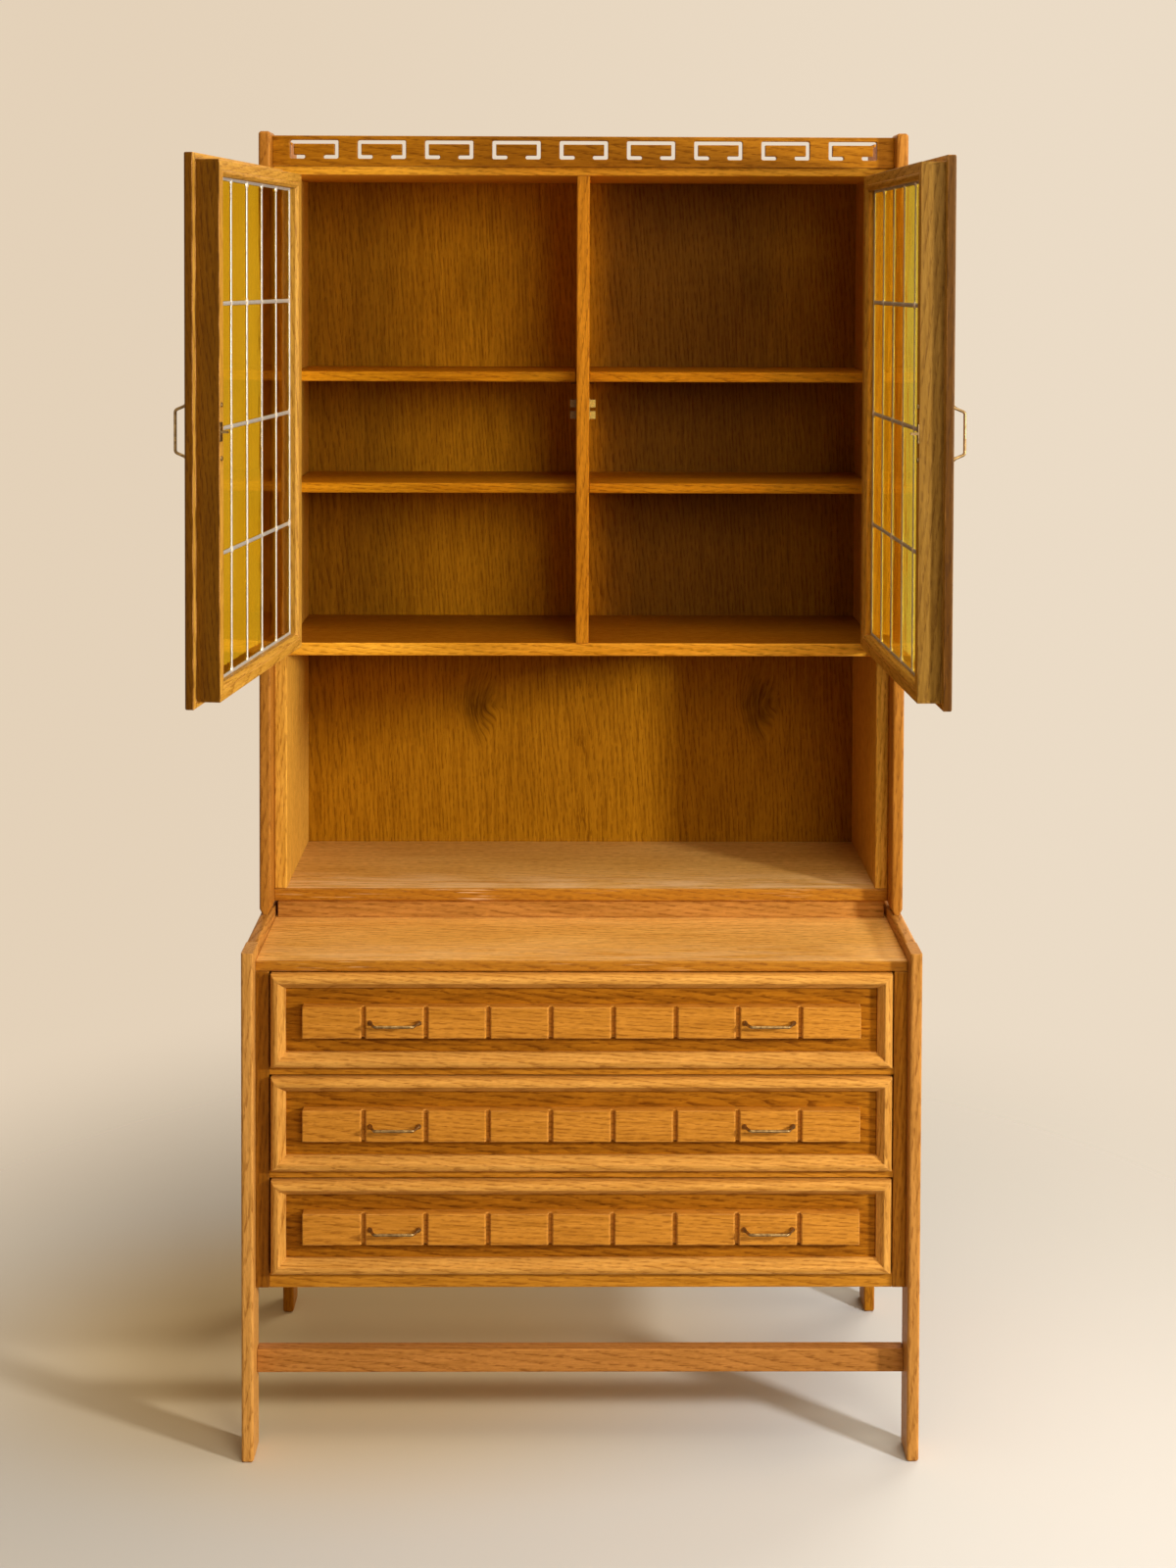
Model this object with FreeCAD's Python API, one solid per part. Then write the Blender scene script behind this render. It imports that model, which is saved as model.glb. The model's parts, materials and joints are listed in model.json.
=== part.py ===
import FreeCAD, Part
import math
import os

# Oak step-back cabinet: a chest of three drawers on plank legs, and set back on it an open niche
# under a two-door cupboard with leaded glass and a pierced key-fret frieze.
# Millimetres. X runs to the right, Y to the back, Z up. The origin is on the floor, at the centre
# of the footprint of the four legs. Doors are drawn open as they stand, drawers shut.

V = FreeCAD.Vector

# Overall size
width = 1000.0
depth = 520.0
height = 1972.0

# Planks of the side frames: legs, posts and their rails
plank_t = 18.0
plank_d = 58.0
plank_round = 4.0
plank_end_ease = 3.0
plank_steps = 3
rail_h = 60.0
rail_rise = 18.0
post_tip_run = 5.0
post_tip_rise = 9.0
post_tip_round = 2.5
post_rise = 5.0

# Chest
counter_z = 740.0
counter_t = 16.0
side_t = 20.0
base_setback = 24.0
base_floor_z = 251.0
base_floor_t = 22.0
back_t = 8.0
divider_t = 11.0
divider_d = 80.0
edge_ease = 1.5
stretcher_z = 117.0
stretcher_h = 35.0
stretcher_t = 22.0
stretcher_setback = 36.0
tenon_len = 12.0
tenon_h = 24.0
tenon_t = 10.0
tenon_clear = 0.2

# Drawers
drawer_count = 3
drawer_gap_side = 3.0
drawer_gap_z = 1.5
front_t = 18.0
moulding_w = 22.0
moulding_h = 17.0
moulding_round = 9.0
moulding_crest = 3.0
moulding_foot = 5.0
tile_count = 9
tile_margin = 26.0
tile_h = 46.0
tile_groove = 5.3
tile_groove_d = 7.0
tile_chamfer = 2.0
pull_tiles = (1, 7)
box_wall = 12.0
box_gap_below = 8.0
box_h = 112.0
box_end_gap = 20.0
bottom_t = 6.0
bottom_rise = 12.0
bottom_groove = 5.0
bottom_clear = 0.2
runner_w = 9.0
runner_h = 10.0
runner_clear = 0.5
runner_end_gap = 2.0

# Upper part
step_back = 191.0
carcass_setback = 39.0
plinth_h = 29.0
plinth_t = 20.0
plinth_inset = 10.0
plinth_end_inset = 4.0
floor_t = 20.0
niche_h = 367.0
top_t = 18.0
partition_t = 20.0
shelf_t = 16.0
shelf_setback = 75.0
shelf_clear = 1.0
upper_shelf_rise = 406.0
lower_shelf_rise = 228.0
pin_r = 3.0
pin_out = 9.0
pin_in = 8.0
pin_flat = 1.0
pin_inset = 35.0
pin_clear = 0.1

# Pierced frieze
frieze_h = 47.0
frieze_t = 12.0
frieze_lap = 5.0
fret_count = 9
fret_margin = 27.0
fret_w = 75.0
fret_h = 29.0
fret_slot = 6.0
fret_foot = 23.5
fret_top = 6.5

# Doors
left_open = 97.0
right_open = 92.0
lip_t = 12.0
lip_gap = 0.5
lip_lap = 7.0
lip_meet = 1.0
lip_round = 3.0
hinge_room = 8.0
block_t = 33.0
gap_hinge = 1.5
gap_free = 3.0
gap_z = 1.5
frame_w = 14.0
bead_w = 8.0
bead_d = 12.0
bead_chamfer = 4.0
sight_chamfer = 5.0
came_t = 5.0
came_w = 6.5
came_bevel = 1.3
border_w = 12.0
border_clear = 0.5
pane_t = 3.0
pane_bite = 2.0
pane_clear = 0.2
columns = 5
rows = 4

# Hinges
hinge_h = 60.0
hinge_inset = 60.0
knuckle_r = 3.2
knuckle_clear = 0.4
knuckle_end_gap = 0.3
knuckle_ahead = 1.5
leaf_t = 1.6
leaf_w = 12.0
hinge_pin_r = 1.5
hinge_pin_clear = 0.1
hinge_pin_head_r = 2.8
hinge_pin_head_t = 1.5

# Pulls and catches
pull_span = 72.0
pull_bar = 57.0
pull_out = 18.0
pull_rod_r = 2.1
pull_foot_r = 3.8
screw_r = 1.5
screw_clear = 0.2
screw_bite = 4.0
screw_head_r = 3.5
screw_head_t = 2.0
catch_rise = 365.0
strike_h = 26.0
strike_w = 9.5
strike_t = 1.5
tongue_t = 3.4
tongue_w = 4.0
tongue_out = 10.0
tongue_edge = 1.0
catch_gap = 6.0
catch_block_h = 12.0
catch_out = 10.0
catch_plate_t = 1.2
catch_plate_over = 2.0
catch_behind = 0.5
ball_r = 2.5
ball_show = 1.0
ball_clear = 0.1
ball_rings = 4

# Sides of the small round pieces: hinge knuckles and pulls, then screws, pegs and balls
round_sides = 10
peg_sides = 8

# Places worked out from the sizes
half = width / 2
inside = half - plank_t
opening = inside - side_t
front_y = -depth / 2
back_y = depth / 2
panel_y = back_y - back_t
base_y = front_y + base_setback
rail_z = counter_z + rail_rise
counter_under = counter_z - counter_t
base_floor_top = base_floor_z + base_floor_t
post_y = front_y + step_back
upper_y = post_y + carcass_setback
niche_floor_z = counter_z + plinth_h
niche_floor_top = niche_floor_z + floor_t
cup_floor_z = niche_floor_top + niche_h
cup_floor_top = cup_floor_z + floor_t
frieze_top = height - post_rise
frieze_z = frieze_top - frieze_h
top_z = frieze_z + frieze_lap
top_under = top_z - top_t
shelf_y = upper_y + shelf_setback
divider_room = divider_t + 2 * drawer_gap_z
drawer_room = counter_under - base_floor_top - 2 * drawer_gap_z
drawer_h = (drawer_room - (drawer_count - 1) * divider_room) / drawer_count
drawer_pitch = drawer_h + divider_room
drawer_half = opening - drawer_gap_side
drawer_panel_y = base_y + moulding_foot / 2
drawer_face_y = drawer_panel_y - moulding_h
drawer_back_y = panel_y - box_end_gap
tile_half = drawer_half - moulding_w - tile_margin
tile_pitch = (2 * tile_half + tile_groove) / tile_count
door_y = upper_y - lip_gap
lip_y = door_y - lip_t
block_y = door_y + block_t
pivot_x = inside - hinge_room / 2
pivot_y = lip_y - knuckle_ahead
catch_z = cup_floor_top + catch_rise


def box(x0, x1, y0, y1, z0, z1):
    return Part.makeBox(x1 - x0, y1 - y0, z1 - z0, V(x0, y0, z0))


def prism(points, push):
    """A solid pushed straight out of a flat outline of points."""
    return flat(points).extrude(push)


def mirrored(shape):
    """The same piece on the other side of the middle plane."""
    return shape.mirror(V(0, 0, 0), V(1, 0, 0))


def edges_where(shape, chosen):
    """The edges for which chosen(lowest corner, highest corner) is true."""
    edges = []
    for edge in shape.Edges:
        span = edge.BoundBox
        low = V(span.XMin, span.YMin, span.ZMin)
        high = V(span.XMax, span.YMax, span.ZMax)
        if chosen(low, high):
            edges.append(edge)
    return edges


def near(a, b):
    return abs(a - b) < 1e-4


def board(x0, x1, y0, y1, z0, z1):
    """A board whose two long front edges are eased."""
    tall = z1 - z0 > x1 - x0
    plank = box(x0, x1, y0, y1, z0, z1)

    def chosen(low, high):
        along = near(low.x, high.x) if tall else near(low.z, high.z)
        return along and near(low.y, y0) and near(high.y, y0)

    return plank.makeChamfer(edge_ease, edges_where(plank, chosen))


def ring(middle, across, along, sides):
    """Points evenly spaced round middle; the two vectors hold the two radii."""
    points = []
    for step in range(sides):
        angle = 2 * math.pi * (step + 0.5) / sides
        points.append(middle + across * math.cos(angle) + along * math.sin(angle))
    return points


def flat(points):
    return Part.Face(Part.makePolygon(points + points[:1]))


def skinned(rings):
    """A solid of flat faces from ring to ring, closed at the first and the last."""
    faces = [flat(rings[0][::-1]), flat(rings[-1])]
    for low, high in zip(rings, rings[1:]):
        for step in range(len(low)):
            faces.append(flat([low[step - 1], low[step], high[step]]))
            faces.append(flat([low[step - 1], high[step], high[step - 1]]))
    solid = Part.makeSolid(Part.makeShell(faces))
    if solid.Volume < 0:
        solid.reverse()
    return solid.removeSplitter()


def rod(radius, start, end, sides):
    """A many-sided rod along X, Y or Z, its corners on the radius."""
    axis = (end - start).normalize()
    across = V(axis.y, axis.z, axis.x) * radius
    along = V(axis.z, axis.x, axis.y) * radius
    return flat(ring(start, across, along, sides)).extrude(end - start)


def ball(radius, middle):
    """A ball of flat faces."""
    rings = []
    for step in range(ball_rings):
        angle = math.pi * ((step + 0.5) / ball_rings - 0.5)
        reach = radius * math.cos(angle)
        level = middle + V(0, 0, radius * math.sin(angle))
        rings.append(ring(level, V(reach, 0, 0), V(0, reach, 0), peg_sides))
    return skinned(rings)


def mitred(border, edges, inward, y0, y1):
    """A border's four members, mitred through the corners of edges and reaching inward from them."""
    x0, x1, z0, z1 = edges
    span = border.BoundBox
    outward = max(x0 - span.XMin, span.XMax - x1, z0 - span.ZMin, span.ZMax - z1)
    a0, a1, b0, b1 = x0 - outward, x1 + outward, z0 - outward, z1 + outward
    c0, c1, d0, d1 = x0 + inward, x1 - inward, z0 + inward, z1 - inward
    outlines = (
        ((a0, b1), (a1, b1), (c1, d1), (c0, d1)),
        ((a0, b0), (a1, b0), (c1, d0), (c0, d0)),
        ((a0, b0), (c0, d0), (c0, d1), (a0, b1)),
        ((a1, b0), (c1, d0), (c1, d1), (a1, b1)),
    )
    members = []
    for outline in outlines:
        wedge = prism([V(x, y0, z) for x, z in outline], V(0, y1 - y0, 0))
        members += border.common(wedge).Solids
    return members


def plank_outline(y0, z, radius, in_x=0.0, in_y=0.0):
    """A left plank's outline at height z with rounded corners, drawn in by in_x and in_y."""
    low = V(-half + in_x + radius, y0 + in_y + radius, z)
    high = V(-inside - in_x - radius, y0 + plank_d - in_y - radius, z)
    corners = ((high.x, high.y), (low.x, high.y), (low.x, low.y), (high.x, low.y))
    points = []
    for turn, (x, y) in enumerate(corners):
        for step in range(plank_steps + 1):
            angle = math.pi / 2 * (turn + step / plank_steps)
            points.append(V(x + radius * math.cos(angle), y + radius * math.sin(angle), z))
    return points


def plank_end(y0, z, way):
    """The two outlines of a plank's eased end at height z; way is 1 for a top, -1 for a foot."""
    end = plank_outline(y0, z, plank_round - plank_end_ease, plank_end_ease, plank_end_ease)
    full = plank_outline(y0, z - way * plank_end_ease, plank_round)
    return [full, end][::way]


def leg(y0):
    """A plank leg on the left, its upright edges rounded and its foot eased."""
    return skinned(plank_end(y0, 0, -1) + [plank_outline(y0, rail_z, plank_round)])


def tenon_room(grow):
    """The stretcher's left tenon, or the mortise for it when grown by a clearance."""
    middle_y = front_y + stretcher_setback + stretcher_t / 2
    middle_z = stretcher_z + stretcher_h / 2
    return box(
        -inside - tenon_len - grow,
        -inside,
        middle_y - tenon_t / 2 - grow,
        middle_y + tenon_t / 2 + grow,
        middle_z - tenon_h / 2 - grow,
        middle_z + tenon_h / 2 + grow,
    )


def front_leg():
    return leg(front_y).cut(tenon_room(tenon_clear))


def back_leg():
    return leg(back_y - plank_d)


def frame_rail(y0, z1):
    """A side frame's rail on the left, between its two uprights, with eased top edges."""
    rail = box(-half, -inside, y0 + plank_d, back_y - plank_d, z1 - rail_h, z1)

    def chosen(low, high):
        return near(low.z, z1) and near(high.z, z1) and near(low.x, high.x)

    return rail.makeFillet(plank_round, edges_where(rail, chosen))


def front_stretcher():
    y0 = front_y + stretcher_setback
    rail = box(-inside, inside, y0, y0 + stretcher_t, stretcher_z, stretcher_z + stretcher_h)

    def chosen(low, high):
        return near(low.z, high.z) and near(low.y, high.y) and near(low.y, y0)

    rail = rail.makeChamfer(edge_ease, edges_where(rail, chosen))
    return rail.fuse([tenon_room(0), mirrored(tenon_room(0))]).removeSplitter()


def base_side():
    return box(-inside, -opening, base_y, panel_y, base_floor_z, counter_under)


def counter_top():
    return board(-inside, inside, base_y, back_y, counter_under, counter_z)


def base_bottom():
    return board(-opening, opening, base_y, panel_y, base_floor_z, base_floor_top)


def base_back():
    return box(-inside, inside, panel_y, back_y, base_floor_z, counter_under)


def drawer_floor(index):
    """The underside of a drawer's front, counted from the top."""
    return counter_under - drawer_gap_z - drawer_h - index * drawer_pitch


def divider(index):
    top = drawer_floor(index) - drawer_gap_z
    return box(-opening, opening, base_y, base_y + divider_d, top - divider_t, top)


def runner_z(index):
    return drawer_floor(index) + drawer_h / 2


def runner(index):
    """A hardwood strip on the left side of the carcass, which a drawer's side rides on."""
    y0 = drawer_panel_y + front_t + runner_end_gap
    z0 = runner_z(index) - runner_h / 2
    return box(-opening, -opening + runner_w, y0, panel_y, z0, z0 + runner_h)


def drawer_front(index):
    """The board behind the moulding and tiles, drilled for the pulls' screws."""
    z0 = drawer_floor(index)
    plank = box(-drawer_half, drawer_half, drawer_panel_y, drawer_panel_y + front_t, z0, z0 + drawer_h)
    groove = bottom_panel(index, bottom_clear)
    holes = [screw_hole(spot, drawer_panel_y + front_t) for spot in pull_feet(index)]
    return plank.cut([groove] + holes)


def moulding_side(length):
    """One length of the moulding, lying along X, its outer edge at z 0 and its back at y 0."""
    crown = moulding_round + moulding_crest
    heel = V(0, -(moulding_h - moulding_round), 0)
    bend = moulding_round * (1 - math.sqrt(0.5))
    over = V(0, -(moulding_h - bend), bend)
    crest = V(0, -moulding_h, moulding_round)
    inner = V(0, -moulding_h, crown)
    toe = V(0, -moulding_foot, moulding_w)
    end = V(0, 0, moulding_w)
    start = V(0, 0, 0)
    edges = [
        Part.makeLine(start, heel),
        Part.Arc(heel, over, crest).toShape(),
        Part.makeLine(crest, inner),
        Part.makeLine(inner, toe),
        Part.makeLine(toe, end),
        Part.makeLine(end, start),
    ]
    bar = Part.Face(Part.Wire(edges)).extrude(V(length, 0, 0))
    return bar.translated(V(-length / 2, 0, 0))


def drawer_moulding(index):
    """Four mitred lengths of moulding round the edge of a drawer's front."""
    z0 = drawer_floor(index)
    z1 = z0 + drawer_h
    middle = (z0 + z1) / 2
    members = []
    for turn, reach, length in ((0, drawer_h, 2 * drawer_half), (90, 2 * drawer_half, drawer_h)):
        for flip in (0, 180):
            bar = moulding_side(length).translated(V(0, drawer_panel_y, -reach / 2))
            bar = bar.rotated(V(0, 0, 0), V(0, 1, 0), turn + flip).translated(V(0, 0, middle))
            edges = (-drawer_half, drawer_half, z0, z1)
            pieces = mitred(bar, edges, moulding_w, drawer_face_y, drawer_panel_y)
            members.append(max(pieces, key=lambda solid: solid.Volume))
    return members


def drawer_tiles(index):
    """The raised strip of tiles, one bar with chamfered grooves between the tiles."""
    z0 = drawer_floor(index) + (drawer_h - tile_h) / 2
    floor = drawer_face_y + tile_groove_d
    points = [V(-tile_half, drawer_panel_y, z0), V(-tile_half, drawer_face_y, z0)]
    for step in range(1, tile_count):
        middle = -tile_half + step * tile_pitch - tile_groove / 2
        for way in (-1, 1):
            wall = middle + way * tile_groove / 2
            groove_side = [
                V(wall + way * tile_chamfer, drawer_face_y, z0),
                V(wall, drawer_face_y + tile_chamfer, z0),
                V(wall, floor, z0),
            ]
            points += groove_side if way < 0 else groove_side[::-1]
    points += [V(tile_half, drawer_face_y, z0), V(tile_half, drawer_panel_y, z0)]
    strip = prism(points, V(0, 0, tile_h))
    holes = [screw_hole(spot, drawer_panel_y) for spot in pull_feet(index)]
    return strip.cut(holes)


def bottom_panel(index, grow):
    """A drawer's bottom, or the groove for it when grown by a clearance."""
    half_x = drawer_half - box_wall + bottom_groove
    z0 = drawer_floor(index) + box_gap_below + bottom_rise
    y0 = drawer_panel_y + front_t - bottom_groove
    y1 = drawer_back_y - box_wall + bottom_groove
    return box(
        -half_x - grow,
        half_x + grow,
        y0 - grow,
        y1 + grow,
        z0 - grow,
        z0 + bottom_t + grow,
    )


def drawer_box(index):
    """Two sides grooved for the runners, a back and a bottom."""
    y0 = drawer_panel_y + front_t
    z0 = drawer_floor(index) + box_gap_below
    z1 = z0 + box_h
    groove = bottom_panel(index, bottom_clear)
    middle = runner_z(index)
    deep = runner_w - drawer_gap_side + runner_clear
    high = runner_h / 2 + runner_clear
    slide = box(-drawer_half, -drawer_half + deep, y0, drawer_back_y, middle - high, middle + high)
    side = box(-drawer_half, -drawer_half + box_wall, y0, drawer_back_y, z0, z1).cut([slide, groove])
    wall = drawer_half - box_wall
    back = box(-wall, wall, drawer_back_y - box_wall, drawer_back_y, z0, z1).cut(groove)
    return [side, mirrored(side), back, bottom_panel(index, 0)]


def pull_feet(index):
    """Where the feet of a drawer's two pulls stand on its tiles."""
    z = drawer_floor(index) + drawer_h / 2
    spots = []
    for tile in pull_tiles:
        middle = -tile_half + tile * tile_pitch + (tile_pitch - tile_groove) / 2
        for way in (-1, 1):
            spots.append(V(middle + way * pull_span / 2, drawer_face_y, z))
    return spots


def screw_hole(spot, y1):
    """A hole for a pull's screw, from the face that the foot stands on to the back at y1."""
    return rod(screw_r + screw_clear, spot, V(spot.x, y1, spot.z), peg_sides)


def screw(spot, y1):
    """A pull's screw: its head lies on the back face at y1, and it bites into the foot at spot."""
    tip = V(spot.x, spot.y - screw_bite, spot.z)
    seat = V(spot.x, y1, spot.z)
    shank = rod(screw_r, tip, seat, peg_sides)
    head = rod(screw_head_r, seat, V(spot.x, y1 + screw_head_t, spot.z), peg_sides)
    return shank.fuse(head).removeSplitter()


def pull(foot_a, foot_b):
    """A bent rod on two splayed, flared feet, skinned from foot to bend to bend to foot."""
    along = (foot_b - foot_a).normalize()
    ahead = V(0, -1, 0)
    across = along.cross(ahead)
    middle = (foot_a + foot_b) * 0.5 + ahead * pull_out
    splay = math.atan2((pull_span - pull_bar) / 2, pull_out)
    mitre = math.pi / 4 - splay / 2
    corner = pull_rod_r / math.cos(mitre)
    limbs = []
    for way, foot in ((-1, foot_a), (1, foot_b)):
        bend = middle + along * (way * pull_bar / 2)
        outer = (along * (way * math.sin(mitre)) + ahead * math.cos(mitre)) * corner
        foot_ring = ring(foot, across * pull_foot_r, along * (way * pull_foot_r), round_sides)
        bend_ring = ring(bend, across * pull_rod_r, outer, round_sides)
        limbs.append([foot_ring, bend_ring])
    shape = skinned(limbs[0] + limbs[1][::-1])
    bores = []
    for foot in (foot_a, foot_b):
        deep = foot + ahead * (screw_bite + screw_clear)
        bores.append(rod(screw_r + screw_clear / 2, deep, foot, peg_sides))
    return shape.cut(bores)


def drawer_pulls(index):
    """Two pulls and their four screws."""
    feet = pull_feet(index)
    inner = drawer_panel_y + front_t
    pieces = [pull(feet[0], feet[1]), pull(feet[2], feet[3])]
    return pieces + [screw(spot, inner) for spot in feet]


def upper_post(y0):
    """A post on the left, narrowed to a tip that stands on the rail below, its top eased."""
    tip = plank_outline(y0, rail_z, post_tip_round, post_tip_run)
    full = plank_outline(y0, rail_z + post_tip_rise, plank_round)
    return skinned([tip, full] + plank_end(y0, height, 1))


def plinth():
    """The low frame that lifts the upper part off the counter."""
    x1 = inside - plinth_end_inset
    x2 = x1 - plinth_t
    y0 = upper_y + plinth_inset
    front = box(-x1, x1, y0, y0 + plinth_t, counter_z, niche_floor_z)
    back = box(-x1, x1, panel_y - plinth_t, panel_y, counter_z, niche_floor_z)
    side = box(-x1, -x2, y0 + plinth_t, panel_y - plinth_t, counter_z, niche_floor_z)
    return [front, back, side, mirrored(side)]


def niche_floor():
    return board(-inside, inside, upper_y, panel_y, niche_floor_z, niche_floor_top)


def upper_side():
    side = board(-inside, -opening, upper_y, panel_y, niche_floor_top, top_under)
    return side.cut(pin_holes(-1, -opening))


def cupboard_floor():
    return board(-opening, opening, upper_y, panel_y, cup_floor_z, cup_floor_top)


def partition():
    middle = partition_t / 2
    plank = board(-middle, middle, upper_y, panel_y, cup_floor_top, top_under)
    return plank.cut(pin_holes(1, -middle) + pin_holes(-1, middle))


def top_board():
    return board(-inside, inside, upper_y, panel_y, top_under, top_z)


def upper_back():
    return box(-inside, inside, panel_y, back_y, niche_floor_z, top_z)


def shelf(rise):
    """A loose shelf in the left half of the cupboard."""
    z0 = cup_floor_top + rise
    x0 = -opening + shelf_clear
    x1 = -partition_t / 2 - shelf_clear
    return board(x0, x1, shelf_y, panel_y - shelf_clear, z0, z0 + shelf_t)


def pin_spots():
    """Depth and height of each shelf pin's centre; the shelf lies on the pin's flat."""
    spots = []
    for rise in (upper_shelf_rise, lower_shelf_rise):
        z = cup_floor_top + rise - pin_r + pin_flat
        spots += [(shelf_y + pin_inset, z), (panel_y - pin_inset, z)]
    return spots


def pin_holes(way, face):
    """Blind holes into the wood from the face at x, into the side that way points to."""
    radius = pin_r + pin_clear
    deep = face + way * (pin_in + pin_clear)
    return [rod(radius, V(deep, y, z), V(face, y, z), peg_sides) for y, z in pin_spots()]


def shelf_pins():
    """Pegs in both walls of both halves, each with a flat where the shelf lies."""
    pins = []
    for way, face in ((-1, -opening), (1, -partition_t / 2)):
        for y, z in pin_spots():
            tip = face - way * pin_out
            peg = rod(pin_r, V(face + way * pin_in, y, z), V(tip, y, z), peg_sides)
            low, high = min(face, tip), max(face, tip)
            flat = box(low, high, y - pin_r, y + pin_r, z + pin_r - pin_flat, z + pin_r)
            peg = peg.cut(flat)
            pins += [peg, mirrored(peg)]
    return pins


def slot_bar(x0, z0, x1, z1):
    """A cutter for one straight slot with round ends, through the frieze."""
    radius = fret_slot / 2
    y0 = upper_y - 2 * frieze_t
    deep = 3 * frieze_t
    spots = (V(x0, y0, z0), V(x1, y0, z1))
    corner_r = radius / math.cos(math.pi / peg_sides)
    ends = [rod(corner_r, spot, spot + V(0, deep, 0), peg_sides) for spot in spots]
    if near(x0, x1):
        run = box(x0 - radius, x0 + radius, y0, y0 + deep, min(z0, z1), max(z0, z1))
    else:
        run = box(min(x0, x1), max(x0, x1), y0, y0 + deep, z0 - radius, z0 + radius)
    return run.fuse(ends)


def frieze():
    """A thin board pierced with a row of square-cornered key motifs, open in their lower side."""
    plank = box(-inside, inside, upper_y - frieze_t, upper_y, frieze_z, frieze_top)
    radius = fret_slot / 2
    pitch = (2 * (inside - fret_margin) - fret_w) / (fret_count - 1)
    high = frieze_top - fret_top - radius
    low = frieze_top - fret_top - fret_h + radius
    cutters = []
    for step in range(fret_count):
        x0 = -inside + fret_margin + step * pitch + radius
        x1 = x0 + fret_w - fret_slot
        foot = fret_foot - fret_slot
        bars = [
            slot_bar(x0, low, x0, high),
            slot_bar(x0, high, x1, high),
            slot_bar(x1, high, x1, low),
            slot_bar(x0, low, x0 + foot, low),
            slot_bar(x1 - foot, low, x1, low),
        ]
        cutters.append(bars[0].fuse(bars[1:]).removeSplitter())
    return plank.cut(cutters)


def door_edges():
    """The block's edges of the left door when it is shut: hinge side, free side, bottom, top."""
    return (
        -opening + gap_hinge,
        -partition_t / 2 - gap_free,
        cup_floor_top + gap_z,
        top_under - gap_z,
    )


def door_frame():
    """Two stiles and two rails, mitred, each with its lip and the rebate for the glass."""
    x0, x1, z0, z1 = door_edges()
    lip = box(
        -inside + hinge_room,
        -lip_meet / 2,
        lip_y,
        door_y,
        cup_floor_top - lip_lap,
        top_under + lip_lap,
    )

    def chosen(low, high):
        return near(low.y, lip_y) and near(high.y, lip_y)

    lip = lip.makeFillet(lip_round, edges_where(lip, chosen))
    block = box(x0, x1, door_y, block_y, z0, z1)
    sight = frame_w + bead_w
    hole = box(x0 + sight, x1 - sight, lip_y, block_y, z0 + sight, z1 - sight)
    flare = Part.makeWedge(
        x0 + sight - sight_chamfer,
        lip_y,
        z0 + sight - sight_chamfer,
        z0 + sight,
        x0 + sight,
        x1 - sight + sight_chamfer,
        lip_y + sight_chamfer,
        z1 - sight + sight_chamfer,
        z1 - sight,
        x1 - sight,
    )
    rebate_y = block_y - bead_d - came_t
    rebate = box(x0 + frame_w, x1 - frame_w, rebate_y, block_y, z0 + frame_w, z1 - frame_w)
    holes = [screw_hole(spot, block_y) for spot in door_pull_feet()]
    border = lip.fuse(block).cut([hole, flare, rebate] + holes).removeSplitter()
    return mitred(border, door_edges(), sight, lip_y, block_y)


def door_beads():
    """Mitred beads that hold the glass from behind."""
    x0, x1, z0, z1 = door_edges()
    x0, x1, z0, z1 = x0 + frame_w, x1 - frame_w, z0 + frame_w, z1 - frame_w
    y0 = block_y - bead_d
    border = box(x0, x1, y0, block_y, z0, z1)
    a0, a1, b0, b1 = x0 + bead_w, x1 - bead_w, z0 + bead_w, z1 - bead_w
    hole = box(a0, a1, y0, block_y, b0, b1)
    flare = Part.makeWedge(
        a0,
        block_y - bead_chamfer,
        b0,
        b0 - bead_chamfer,
        a0 - bead_chamfer,
        a1,
        block_y,
        b1,
        b1 + bead_chamfer,
        a1 + bead_chamfer,
    )
    return mitred(border.cut([hole, flare]), (x0, x1, z0, z1), bead_w, y0, block_y)


def pane_cells():
    """The clear window of each pane between the cames: left, right, bottom, top."""
    x0, x1, z0, z1 = door_edges()
    inset = frame_w + border_clear + border_w
    x0, x1, z0, z1 = x0 + inset, x1 - inset, z0 + inset, z1 - inset
    cell_w = (x1 - x0 - (columns - 1) * came_w) / columns
    cell_h = (z1 - z0 - (rows - 1) * came_w) / rows
    cells = []
    for row in range(rows):
        for column in range(columns):
            left = x0 + column * (cell_w + came_w)
            low = z0 + row * (cell_h + came_w)
            cells.append((left, left + cell_w, low, low + cell_h))
    return cells


def pane_room(cell, grow):
    """One pane of glass, or the channel for it in the cames when grown by a clearance."""
    left, right, low, high = cell
    bite = pane_bite + grow
    middle = block_y - bead_d - came_t / 2
    thick = pane_t / 2 + grow
    return box(left - bite, right + bite, middle - thick, middle + thick, low - bite, high + bite)


def door_cames():
    """The soldered lead lattice: one bevelled grid with channels for the panes."""
    x0, x1, z0, z1 = door_edges()
    inset = frame_w + border_clear
    y1 = block_y - bead_d
    y0 = y1 - came_t
    grid = box(x0 + inset, x1 - inset, y0, y1, z0 + inset, z1 - inset)
    bevel = came_bevel
    cutters = []
    for cell in pane_cells():
        left, right, low, high = cell
        wide = (left - bevel, right + bevel, low - bevel, high + bevel)
        front = Part.makeWedge(
            wide[0], y0, wide[2], low, left, wide[1], y0 + bevel, wide[3], high, right
        )
        back = Part.makeWedge(
            left, y1 - bevel, low, wide[2], wide[0], right, y1, high, wide[3], wide[1]
        )
        cutters += [box(left, right, y0, y1, low, high), front, back, pane_room(cell, pane_clear)]
    return grid.cut(cutters)


def door_panes():
    return [pane_room(cell, 0) for cell in pane_cells()]


def door_pull_feet():
    """Where the pull's feet stand on the free stile of the shut left door."""
    x = door_edges()[1] - frame_w / 2
    return [V(x, lip_y, catch_z + way * pull_span / 2) for way in (-1, 1)]


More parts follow.
